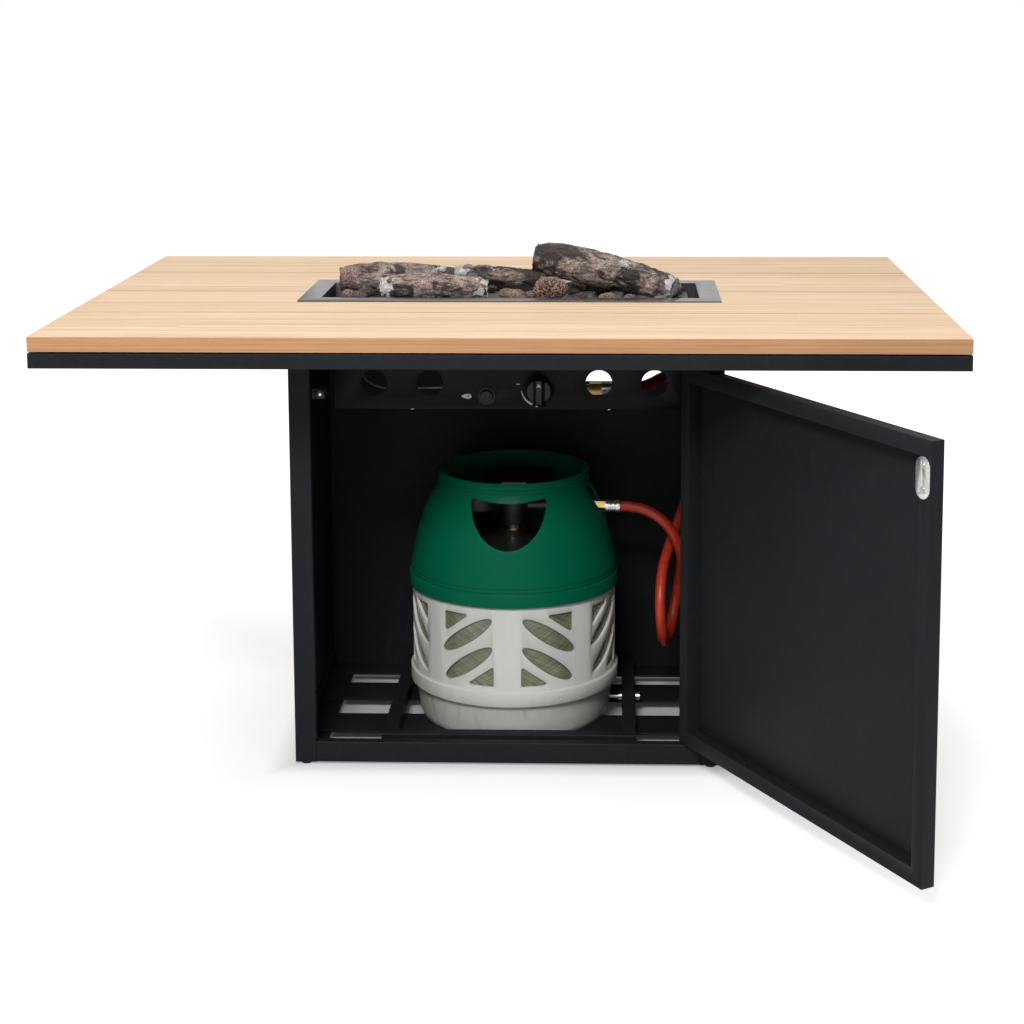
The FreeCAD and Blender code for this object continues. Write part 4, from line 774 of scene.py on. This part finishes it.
# Where each ferrule starts, in metres, and its radii and grooves, in millimetres
FERRULE_FEET = ((0.1362, 0, 0.3235), (0.1310, -0.036, 0.508))
FERRULE_BORE, FERRULE_RIM, FERRULE_NECK = 6.0, 9.0, 8.2
FERRULE_GROOVES = (4.5, 8.5, 12.5)


class FIRETABLE_OT_hose(bpy.types.Operator):
    """Hang the red gas hose and the ignition lead"""

    bl_idname = "firetable.hose"
    bl_label = "Gas hose"

    def execute(self, context):
        hose = tube_curve("gas_hose_tube", HOSE_ROUTE, sizes().hose)
        shown(hose, "cabinet", "red_rubber", ("gas_hose",))
        ferrules = self.ferrules()
        lead = tube_curve("ignition_lead_wire", LEAD_ROUTE, sizes().lead)
        shown(lead, "cabinet", "cream_silicone", ("ignition_lead",))
        return {"FINISHED"}

    def ferrules(self):
        """Crimped steel ferrules: a plain collar, three pressed grooves and a rolled end."""
        bore, rim, neck = FERRULE_BORE, FERRULE_RIM, FERRULE_NECK
        profile = [(bore, 0), (rim, 0), (rim, 3.5)]
        for start in FERRULE_GROOVES:
            profile += [(rim, start), (neck, start + 0.8), (neck, start + 2.2), (rim, start + 3.0)]
        profile += [(rim, 19.5), (8.8, 21.0), (7.8, 21.0), (bore, 21.0)]
        whole = bmesh.new()
        for foot in FERRULE_FEET:
            mesh = as_mesh(turned(profile, 48, foot, "Y"), "part")
            whole.from_mesh(mesh)
            bpy.data.meshes.remove(mesh)
        return shown(from_bmesh(whole, "crimped_ferrules"), "cabinet", "satin_steel", ("hose_ferrules",))


# Cabinet, door and the table's frame


# Node, name of the piece, body, slot, and its share of the sheet edge's rounding
SHEETS = (
    ("door_frame", "door_rim", "door", "charcoal_paint", 1.0),
    ("door_skin", "door_sheet", "door", "charcoal_paint", 0.6),
    ("burner_tray", "burner_bowl", "cabinet", "grey_paint", 0.8),
    ("control_panel", "panel_sheet", "cabinet", "black_paint", 0.5),
    ("floor_slats", "floor_strips", "cabinet", "charcoal_paint", 1.0),
    ("strike_plate", "strike_oval", "door", "satin_steel", 0.4),
    ("touch_latch_body", "latch_housing", "cabinet", "black_plastic", 1.0))

# The open tubes of the table's frame and their plugs, in millimetres
TUBE_DEPTH = 25.0
PLUG_INSET = 1.8
PLUG_RECESS = 0.4
PLUG_LENGTH = 9.0
PLUG_EDGE = 0.9


class FIRETABLE_OT_cabinet(bpy.types.Operator):
    """Ease the edges of the cabinet's sheets, its floor and the burner tray"""

    bl_idname = "firetable.cabinet"
    bl_label = "Cabinet and door"

    def execute(self, context):
        for node, name, body, slot, share in SHEETS:
            eased_copy(node, name, body, slot, share * sizes().edge)
        return {"FINISHED"}


class FIRETABLE_OT_plugs(bpy.types.Operator):
    """Close the open ends of the long frame tubes with pressed-in plugs"""

    bl_idname = "firetable.plugs"
    bl_label = "Tube plugs"

    def execute(self, context):
        low, high = (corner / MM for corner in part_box("top_frame_long_tubes"))
        width = TUBE_DEPTH - 2 * PLUG_INSET
        bm = bmesh.new()
        for x in (low.x + PLUG_RECESS, high.x - PLUG_RECESS - PLUG_LENGTH):
            for y in (low.y + PLUG_INSET, high.y - PLUG_INSET - width):
                block(bm, (x, y, low.z + PLUG_INSET), (x + PLUG_LENGTH, y + width, high.z - PLUG_INSET))
        rounded(bm, list(bm.edges), PLUG_EDGE * MM, 3)
        shown(from_bmesh(bm, "tube_end_plugs", 50.0), "cabinet", "black_nylon")
        return {"FINISHED"}


class FIRETABLE_OT_latch(bpy.types.Operator):
    """Turn the touch latch's button: a dark disc with a bright pin"""

    bl_idname = "firetable.latch"
    bl_label = "Latch button"

    def execute(self, context):
        low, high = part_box("touch_latch_plunger")
        middle = middle_of("touch_latch_plunger")
        rim, reach = (high.x - low.x) / 2 / MM, (high.y - low.y) / MM
        axis, shaft, head, pin = 0.01, 3.9, 2.0, 2.0
        profile = [(axis, 0), (shaft, 0), (shaft, reach - head), (rim, reach - head), (rim, reach - 0.5),
                   (rim - 0.5, reach), (4.2, reach), (3.7, reach - 0.9), (2.3, reach - 0.9),
                   (pin, reach - 0.1), (axis, reach - 0.1)]
        button = from_bmesh(turned(profile, 64, (middle.x, high.y, middle.z), "X"), "latch_button")
        shown(button, "latch_pin", "satin_steel", ("touch_latch_plunger",), "dark_nickel")
        button.data.materials.append(MADE["satin_steel"])
        for face in button.data.polygons:
            off_axis = math.hypot(face.center.x - middle.x, face.center.z - middle.z)
            if face.center.y < low.y + 0.4 * MM and off_axis < pin * MM:
                face.material_index = 1
        return {"FINISHED"}


# Burner


# Sections (x, y, z, radius) in millimetres, seed, ash at the start and the end, rust at the start, and how
# much fuller the bark is made than the solid, for what the carving takes off
LOGS = {
    "rear_left_log": (
        ((-258, 44, 655.3, 17), (-205, 42, 658.3, 21), (-150, 40, 655.8, 21.5), (-110, 42, 653.3, 20),
         (-70, 45, 652.3, 16)), 11, (0.1, 1.0), 0.9, 1.12),
    "front_left_log": (
        ((-190, -24, 650.3, 15), (-150, -28, 653.3, 18), (-110, -30, 653.8, 18.5), (-70, -30, 652.3, 17),
         (-34, -28, 650.3, 15)), 23, (1.0, 1.0), 0.0, 1.14),
    "middle_log": (
        ((-86, 27, 669.5, 11.5), (-50, 25, 668.4, 13), (-15, 23, 664.6, 13), (20, 20, 661.4, 13),
         (56, 18, 658.6, 12)), 37, (1.3, 0.0), 0.0, 1.06),
    "right_log": (
        ((32, 22, 693.9, 22), (70, 18, 687.9, 26.5), (120, 8, 678.8, 27), (165, -2, 669.8, 25),
         (205, -14, 660.4, 22), (236, -26, 652.8, 18)), 53, (0.1, 1.0), 0.25, 1.0),
}
LOG_FACE = 0.0015  # size of a carved log's faces, in metres
# How far the end face, the worn shoulder, the ash and the rust reach in from a log's end, in metres
END_REACH, WORN_REACH, ASH_REACH, RUST_REACH = 0.004, 0.013, 0.019, 0.055
ASH_RAGGED, ASH_FADE = 0.015, 0.007


class FIRETABLE_OT_logs(bpy.types.Operator):
    """Carve the ceramic logs: furrowed bark, knots, broken ends"""

    bl_idname = "firetable.logs"
    bl_label = "Logs"

    def execute(self, context):
        for node, (sections, seed, ends, rust, fuller) in LOGS.items():
            grown = [(x, y, z + 0.7 * radius * (fuller - 1.0), radius * fuller)
                     for x, y, z, radius in sections]
            self.carve(node, grown, seed, ends, rust)
        return {"FINISHED"}

    def rough_form(self, name, sections):
        """A bent round bar through the sections, remeshed to even faces."""
        curve, spline = round_curve("bar", "BEZIER", 12)
        curve.bevel_depth = MM
        spline.bezier_points.add(len(sections) - 1)
        for point, (x, y, z, radius) in zip(spline.bezier_points, sections):
            point.co = (x * MM, y * MM, z * MM)
            point.radius = radius
            point.handle_left_type = point.handle_right_type = "AUTO"
        bar = placed("bar", curve)
        piece = placed(name, baked(bar))
        bpy.data.objects.remove(bar)
        remesh = piece.modifiers.new("Even faces", "REMESH")
        remesh.mode = "VOXEL"
        remesh.voxel_size = LOG_FACE
        apply_modifiers(piece)
        return piece

    def carve(self, node, sections, seed, ends, rust):
        """Cut furrows into the bar and mark its ash, its rust, and its furrows and pits for painted shade."""
        piece = self.rough_form(node + "_bark", sections)
        second, first, last, before = (Vector(sections[i][:3]) * MM for i in (1, 0, -1, -2))
        start_way, end_way = (second - first).normalized(), (before - last).normalized()
        shift = Vector((seed * 1.7, seed * 0.9, seed * 2.3))
        bm = bmesh.new()
        bm.from_mesh(piece.data)
        ash, red, furrow = (bm.verts.layers.float.new(name) for name in ("ash", "rust", "furrow"))
        bm.normal_update()
        moves = []
        for vert in bm.verts:
            place, normal = vert.co, vert.normal
            from_start = (place - first).dot(start_way)
            from_end = (place - last).dot(end_way)
            cap = max(abs(normal.dot(start_way)) if from_start < END_REACH else 0.0,
                      abs(normal.dot(end_way)) if from_end < END_REACH else 0.0)
            side = 1.0 - min(1.0, cap * 1.4)
            # Ribs run along the log, with lumps, pits and fine grit over them
            along = Vector((place.x * 34.0, place.y * 120.0, place.z * 120.0)) + shift
            rib = max(0.0, 1.0 - abs(noise.noise(along)) * 3.4) ** 2.0
            lump = noise.fractal(place * 24.0 + shift, 0.9, 2.0, 3)
            broad = noise.noise(place * 62.0 + shift)
            fine = noise.fractal(place * 330.0 + shift, 0.7, 2.2, 3)
            pits = max(0.0, 0.36 - noise.voronoi(place * 210.0 + shift)[0][0]) * 2.2
            cut = 0.45 * side * rib + 0.85 * lump + 0.75 * broad + 0.30 * fine + 0.5 * pits
            # The shoulders are worn round and the end faces broken
            worn_off = max(0.0, 1.0 - min(abs(from_start), abs(from_end)) / WORN_REACH) ** 2
            cut += worn_off * side * (1.0 + 0.9 * noise.noise(place * 48.0 - shift))
            cut += (1.0 - side) * (0.4 + 1.2 * noise.noise(place * 90.0 + shift))
            cut = max(cut, 1.7 * worn_off * (1.0 + 0.5 * broad) if side > 0.25 else 0.0)
            moves.append(normal * (-sizes().bark * cut))
            # Ash at the ends and in patches on top, rust from the start, and painted shade in the furrows of
            # the ribs and in the pits
            reach = ASH_REACH + ASH_RAGGED * noise.fractal(place * 62.0 + shift, 0.6, 2.0, 4)
            near = max(ends[0] * (reach - from_start), ends[1] * (reach - from_end), 0.0) / ASH_FADE
            near *= max(0.0, min(1.0, 0.85 + 1.5 * noise.noise(place * 85.0 - shift)))
            top = max(0.0, normal.z) * max(0.0, noise.noise(place * 40.0 + shift * 2.0) - 0.1) * 1.5
            vert[ash] = min(1.0, near + top)
            vert[red] = rust * max(0.0, 1.0 - from_start / RUST_REACH)
            vert[furrow] = min(1.0, side * rib * (0.3 + max(0.0, lump)) + 1.2 * pits)
        for vert, move in zip(bm.verts, moves):
            vert.co += move
        for face in bm.faces:
            face.smooth = True
        bm.to_mesh(piece.data)
        bm.free()
        shown(piece, "cabinet", "ceramic_log", (node,))


# Place (x, y), radius and flatness of each rock, in millimetres, the large pored one first
ROCKS = (
    (56, -36, 28, 0.72), (6, -46, 19, 0.6), (100, -52, 14, 0.6), (140, -52, 15, 0.6), (172, -50, 12, 0.6),
    (-222, -44, 17, 0.55), (-240, -12, 11, 0.7), (-216, 4, 14, 0.6), (-8, -6, 14, 0.6), (30, -10, 12, 0.6),
    (42, 24, 13, 0.6), (92, 50, 17, 0.6), (132, 48, 19, 0.7), (172, 40, 16, 0.6), (206, 30, 14, 0.6),
    (236, 14, 13, 0.6), (238, 52, 14, 0.7), (-34, 60, 9, 0.6), (-90, 12, 9, 0.6), (-130, 6, 8, 0.7),
    (204, 56, 11, 0.6), (-176, 8, 10, 0.7), (-200, -60, 9, 0.6), (-20, -60, 8, 0.7), (214, -56, 11, 0.6))
LARGE_ROCK = 13  # radius from which a rock gets smaller faces
ROCK_GAP = 0.3 * MM


class FIRETABLE_OT_rocks(bpy.types.Operator):
    """Break the lava rocks: angular lumps with open pores"""

    bl_idname = "firetable.rocks"
    bl_label = "Lava rocks"

    def execute(self, context):
        bm = bmesh.new()
        tint = bm.verts.layers.float.new("tint")
        open_pore = bm.verts.layers.float.new("pore")
        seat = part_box("media_plate")[1].z + ROCK_GAP
        for index, (x, y, radius, flat) in enumerate(ROCKS):
            pored = index == 0
            tone = 1.0 if pored else 0.5 + 0.5 * math.sin(index * 2.4)
            pore_scale, pore_reach = (0.24, 0.58) if pored else (0.34, 0.45)
            fineness = 6 if pored else 5 if radius > LARGE_ROCK else 4
            centre = Vector((x * MM, y * MM, seat + radius * flat * MM))
            shift = Vector((index * 3.1, index * 1.3, index * 2.7))
            made = bmesh.ops.create_icosphere(bm, subdivisions=fineness, radius=1.0)["verts"]
            for vert in made:
                way = vert.co.copy()
                lump = noise.noise(way * 1.3 + shift)
                facet = noise.voronoi(way * 1.6 + shift)[0][0]
                pore = noise.voronoi(way * radius * pore_scale + shift)[0][0]
                pit = min(1.0, max(0.0, pore_reach - pore) * 3.6)
                fall = sizes().rock_carving * (0.30 + 0.5 * lump + 0.35 * facet) + 0.13 * pit
                size = radius * MM * (1.0 - min(0.5, max(0.0, fall)))
                vert.co = centre + Vector((way.x * size, way.y * size, way.z * size * flat))
                vert[tint] = tone
                vert[open_pore] = pit
            lowest = min(vert.co.z for vert in made)
            bmesh.ops.translate(bm, verts=made, vec=(0, 0, seat - lowest))
        shown(from_bmesh(bm, "broken_rocks", 180.0), "cabinet", "lava", ("lava_rocks",))
        return {"FINISHED"}


# Control panel


# The knob's printed scale and dash, and the spark mark beside the button, in millimetres and degrees
SCALE_RADIUS, SCALE_LIFT, SCALE_FROM, SCALE_SWEEP, SCALE_STEPS = 26.0, 1.5, 188.0, 76.0, 28
SPARK_SHIFT, SPARK_STEPS = (-29.0, -0.5), 24
PRINT_THICKNESS = 0.00012

# The knob's turned body, as (radius, height), and its grip, in millimetres
KNOB_PROFILE = [(4.2, 0), (20.5, 0), (20.5, 2.6), (19.2, 3.4), (18.2, 10.4), (16.6, 12.0), (4.2, 12.0)]
GRIP_HALF_WIDTH, GRIP_HALF_LENGTH, GRIP_ROOT, GRIP_FACE, GRIP_EDGE = 8.6, 19.6, 11.0, 23.852, 2.2
GRIP_TAPER = (0.62, 0.93)


def flat_shape(bm, outline, y, thickness=PRINT_THICKNESS):
    """A thin raised print, from (x, z) points in millimetres."""
    corners = [bm.verts.new((x * MM, y, z * MM)) for x, z in outline]
    extruded(bm, bmesh.ops.contextual_create(bm, geom=corners)["faces"], (0, -thickness, 0))


def flat_strip(bm, outer, inner, y):
    """A thin print between two lines of points."""
    for corners in zip(outer, outer[1:], inner[1:], inner):
        flat_shape(bm, corners, y)


class FIRETABLE_OT_panel(bpy.types.Operator):
    """Print the knob's scale and the spark mark on the panel"""

    bl_idname = "firetable.panel"
    bl_label = "Panel marks"

    def execute(self, context):
        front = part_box("control_panel")[0].y
        bm = bmesh.new()
        x, z = KNOB.x / MM, KNOB.z / MM
        outer, inner = [], []
        for index in range(SCALE_STEPS + 1):
            share = index / SCALE_STEPS
            turn = math.radians(SCALE_FROM + SCALE_SWEEP * share)
            half = 0.5 + 1.3 * share
            for line, radius in ((outer, SCALE_RADIUS + half), (inner, SCALE_RADIUS - half)):
                line.append((x + radius * math.cos(turn), z + SCALE_LIFT + radius * math.sin(turn)))
        flat_strip(bm, outer, inner, front)
        flat_shape(bm, [(x - 33, z + 6.6), (x - 28, z + 6.6), (x - 28, z + 7.8), (x - 33, z + 7.8)], front)
        x, z = BUTTON.x / MM + SPARK_SHIFT[0], BUTTON.z / MM + SPARK_SHIFT[1]
        turns = [math.tau * index / SPARK_STEPS for index in range(SPARK_STEPS + 1)]
        leaf = [(x + 7.2 * math.cos(t), z + 3.4 * math.sin(t) * (1.0 + 0.45 * math.cos(t))) for t in turns]
        hole = [(x + 2.6 + 1.3 * math.cos(t), z + 0.2 + 1.3 * math.sin(t)) for t in turns]
        flat_strip(bm, leaf, hole, front)
        shown(from_bmesh(bm, "panel_marks"), "cabinet", "black_paint", finish="white_print")
        return {"FINISHED"}


class FIRETABLE_OT_knob(bpy.types.Operator):
    """Shape the control knob and its grip"""

    bl_idname = "firetable.knob"
    bl_label = "Control knob"

    def execute(self, context):
        front, foot = (corner.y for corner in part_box("control_knob"))
        x, z = KNOB.x / MM, KNOB.z / MM
        bm = turned(KNOB_PROFILE, 96, (KNOB.x, foot, KNOB.z), "X", 0.0006)
        grip = block(bm, (-GRIP_HALF_WIDTH, GRIP_ROOT, -GRIP_HALF_LENGTH),
                     (GRIP_HALF_WIDTH, GRIP_FACE, GRIP_HALF_LENGTH))
        # Turned to the front vertex by vertex: the bevel still sees the faces as they stood before, and so
        # swells the grip's rim
        for vert in grip:
            narrow, short = GRIP_TAPER if vert.co.y > GRIP_ROOT * 2 * MM else (1.0, 1.0)
            vert.co = (KNOB.x + vert.co.x * narrow, foot - vert.co.y, KNOB.z + vert.co.z * short)
        rounded(bm, [edge for edge in bm.edges if edge.verts[0] in grip], GRIP_EDGE * MM, 4)
        shown(from_bmesh(bm, "knob_with_grip", 40.0), "knob", "knob_plastic", ("control_knob",))
        bm = bmesh.new()
        flat_shape(bm, [(x - 3.2, z + 8.2), (x + 3.2, z + 8.2), (x, z + 13.6)], front + 0.0002, 0.00025)
        shown(from_bmesh(bm, "knob_pointer"), "knob", "knob_plastic", finish="white_print")
        return {"FINISHED"}


# Gas bottle


# The cover's wall from its foot up, outside and then inside, as (radius, height) in millimetres
COVER_PROFILE = [
    (154.5, 213), (154.5, 230.4), (154.0, 231.4), (152.8, 232.2), (152.3, 233.4), (153.0, 234.6),
    (153.2, 236), (152.6, 237.4), (152.4, 238.6), (153.0, 240), (152.6, 244), (151.2, 252), (148.6, 263),
    (145.6, 276),
    (142.4, 289), (138.8, 302), (134.6, 315), (130.0, 327), (125.0, 338), (119.6, 348), (114.4, 357),
    (111.4, 363), (110.6, 366.4), (111.6, 368), (111.8, 372), (111.0, 372.8), (111.0, 373.6), (111.8, 374.4),
    (111.8, 378.4), (111.3, 378.9), (111.3, 379.4), (111.7, 379.9), (111.5, 381.8), (110.2, 383.0),
    (107.9, 383.0), (107.5, 381.5), (107.5, 365), (110.4, 357.5), (115.6, 348.5), (121.0, 338.5),
    (126.0, 327.5), (130.6, 315), (134.8, 302), (138.4, 289), (142.6, 272), (146.4, 252), (147.0, 240),
    (147.0, 213)]
# Direction in degrees, half width and drop of each opening of the cover, in millimetres
HAND_HOLES = ((0.0, 54, 63), (180.0, 54, 63), (90.0, 34, 42))
HOLE_STEPS, HOLE_TOP_STEPS, HOLE_SAG, HOLE_CORNER = 40, 16, 5.6, 4.6
HOLE_START, HOLE_DEPTH, HOLE_HEIGHT = 0.0865, 0.09, 0.3555
# Between these heights, in metres, the cover's sharp edges are lips of its openings
LIPS_FROM, LIPS_TO = 0.25, 0.3625
BOTTLE_TURN = -1.0


class FIRETABLE_OT_bottle(bpy.types.Operator):
    """Mould the bottle's green cover and its slotted jacket"""

    bl_idname = "firetable.bottle"
    bl_label = "Gas bottle"

    def execute(self, context):
        cover = from_bmesh(turned(COVER_PROFILE, sizes().turns), "bottle_cover", 30.0)
        cutters = [self.hole_cutter(*hole) for hole in HAND_HOLES]
        for cutter in cutters:
            cut = cover.modifiers.new("Opening", "BOOLEAN")
            cut.operation = "DIFFERENCE"
            cut.solver = "EXACT"
            cut.object = cutter
        apply_modifiers(cover)
        for cutter in cutters:
            bpy.data.objects.remove(cutter)
        self.soften_openings(cover)
        cover.data.transform(Matrix.Rotation(math.radians(BOTTLE_TURN), 4, "Z"))
        shown(cover, "cabinet", "green_plastic", ("cylinder_cover",))
        eased_copy("cylinder_jacket", "bottle_jacket", "cabinet", "jacket_plastic", 0.0009, 38.0)
        return {"FINISHED"}

    def hole_cutter(self, angle, half, drop):
        """Cutter with a sagging top and a half elliptic bottom, pointing outwards at an angle."""
        turns = [math.pi * index / HOLE_STEPS for index in range(1, HOLE_STEPS)]
        across = [2.0 * index / HOLE_TOP_STEPS - 1.0 for index in range(1, HOLE_TOP_STEPS)]
        outline = [(half, HOLE_CORNER), *((half * math.cos(t), -drop * math.sin(t)) for t in turns),
                   (-half, HOLE_CORNER), *((half * share, HOLE_SAG * share ** 2) for share in across)]
        bm = bmesh.new()
        verts = [bm.verts.new((x * MM, 0.0, z * MM)) for x, z in outline]
        bm.faces.new(verts)
        rounded(bm, [verts[0], verts[HOLE_STEPS]], 4 * MM, 5, "VERTICES")
        extruded(bm, list(bm.faces), (0, -HOLE_DEPTH, 0))
        bmesh.ops.recalc_face_normals(bm, faces=bm.faces)
        bmesh.ops.translate(bm, verts=bm.verts, vec=(0, -HOLE_START, HOLE_HEIGHT))
        bmesh.ops.rotate(bm, verts=bm.verts, cent=(0, 0, 0),
                         matrix=Matrix.Rotation(math.radians(angle), 3, "Z"))
        return placed("cutter", as_mesh(bm, "cutter"))

    def soften_openings(self, cover):
        """Round the lips of the openings."""
        bm = bmesh.new()
        bm.from_mesh(cover.data)
        bmesh.ops.remove_doubles(bm, verts=bm.verts, dist=2e-5)
        lips = [edge for edge in bm.edges if len(edge.link_faces) == 2
                and edge.calc_face_angle(0.0) > math.radians(42.0)
                and all(LIPS_FROM < vert.co.z < LIPS_TO for vert in edge.verts)]
        rounded(bm, lips, sizes().lip, 4)
        smooth_shaded(bm, 32.0)
        bm.to_mesh(cover.data)
        bm.free()


# Stage


# Place, target, width and power of each lamp, in metres and watts
LAMPS = {
    "key": ((-0.35, -2.8, 2.5), (0.03, -0.2, 0.30), 0.9, 86.0),
    "fill": ((2.6, -2.2, 1.9), (0.1, 0.0, 0.4), 1.8, 4.0),
    "top": ((-0.2, 0.2, 3.2), (0.0, 0.0, 0.6), 2.6, 38.0),
}
FLOOR_SIZE = 9.0
WORLD_LIGHT = 0.17
CABINET_HALF_LENGTH, CABINET_HALF_WIDTH = 0.30, 0.20


class FIRETABLE_OT_stage(bpy.types.Operator):
    """Set the pale floor, the plain world and the soft lamps"""

    bl_idname = "firetable.stage"
    bl_label = "Stage"

    def execute(self, context):
        bm = bmesh.new()
        bmesh.ops.create_grid(bm, x_segments=1, y_segments=1, size=FLOOR_SIZE)
        floor = from_bmesh(bm, "floor")
        floor.data.materials.append(self.floor_finish())
        self.world(context)
        for name, (place, target, size, power) in LAMPS.items():
            light = bpy.data.lights.new(name, "AREA")
            light.size = size
            light.energy = power
            lamp = placed(name, light)
            lamp.location = place
            lamp.rotation_euler = (Vector(target) - Vector(place)).to_track_quat("-Z", "Y").to_euler()
        context.scene.view_settings.view_transform = "Standard"
        return {"FINISHED"}

    def seen_directly(self, net):
        """1 for what the camera, a reflection or glass sees."""
        path = net.node("ShaderNodeLightPath").outputs
        first = net.math("MAXIMUM", path["Is Camera Ray"], path["Is Glossy Ray"])
        return net.math("MAXIMUM", first, path["Is Transmission Ray"])

    def floor_finish(self):
        """White floor that keeps the object's shadow, with painted shade under and near the cabinet, where
        its glow is turned down.
        """
        material, net, shader = new_finish("studio_floor")
        place = net.position()
        tone = net.mix(net.band(net.noise(place, 2.0), 0.3, 0.7), [0.56] * 3, [0.58] * 3)
        net.link(tone, shader.inputs["Base Color"])
        x, y = net.split(place)[:2]
        beside = net.math("MAXIMUM", net.minus(net.size_of(x), CABINET_HALF_LENGTH),
                          net.minus(net.size_of(y), CABINET_HALF_WIDTH))
        # Painted shadow: the floor's glow is nearly off under the cabinet and rises away from it
        glow_with_painted_shade = net.plus(net.band(beside, -0.04, 0.04, 0.02, 0.58), net.band(beside, 0.04, 0.7, 0.0, 0.37))
        shader.inputs["Roughness"].default_value = 0.9
        shader.inputs["Emission Color"].default_value = (1.0, 1.0, 1.0, 1.0)
        net.link(net.times(self.seen_directly(net), glow_with_painted_shade), shader.inputs["Emission Strength"])
        return material

    def world(self, context):
        """A world that looks white and lights the object gently."""
        world = bpy.data.worlds.new("studio")
        world.use_nodes = True
        net = Net(world.node_tree)
        shader = world.node_tree.nodes["Background"]
        shader.inputs["Color"].default_value = (1.0, 1.0, 1.0, 1.0)
        strength = net.band(self.seen_directly(net), 0.0, 1.0, WORLD_LIGHT, 1.0)
        net.link(strength, shader.inputs["Strength"])
        context.scene.world = world


# Add-on


OPERATORS = (
    FIRETABLE_OT_camera, FIRETABLE_OT_finishes, FIRETABLE_OT_hose, FIRETABLE_OT_cabinet,
    FIRETABLE_OT_plugs, FIRETABLE_OT_latch, FIRETABLE_OT_logs, FIRETABLE_OT_rocks, FIRETABLE_OT_panel,
    FIRETABLE_OT_knob, FIRETABLE_OT_bottle, FIRETABLE_OT_stage)


class FIRETABLE_PT_panel(bpy.types.Panel):
    """Shows the size and colour settings, and a button for each step of the fire table"""

    bl_idname = "FIRETABLE_PT_panel"
    bl_label = "Fire Table"
    bl_space_type = "VIEW_3D"
    bl_region_type = "UI"
    bl_category = "Fire Table"

    def draw(self, context):
        for group in (sizes(), colours()):
            for name in group.bl_rna.properties.keys():
                if name not in ("rna_type", "name"):
                    self.layout.prop(group, name)
        for operator in OPERATORS:
            self.layout.operator(operator.bl_idname)


CLASSES = (FireTableSizes, FireTableColours, *OPERATORS, FIRETABLE_PT_panel)


def register():
    """Add the settings, the operators and the panel."""
    for item in CLASSES:
        bpy.utils.register_class(item)
    bpy.types.Scene.fire_table_sizes = PointerProperty(type=FireTableSizes)
    bpy.types.Scene.fire_table_colours = PointerProperty(type=FireTableColours)


def unregister():
    """Take them away again."""
    del bpy.types.Scene.fire_table_colours
    del bpy.types.Scene.fire_table_sizes
    for item in reversed(CLASSES):
        bpy.utils.unregister_class(item)


def main():
    """Build the whole scene."""
    register()
    for operator in OPERATORS:
        getattr(bpy.ops.firetable, operator.bl_idname.split(".")[1])()
    bpy.context.view_layer.update()


if __name__ == "__main__":
    main()
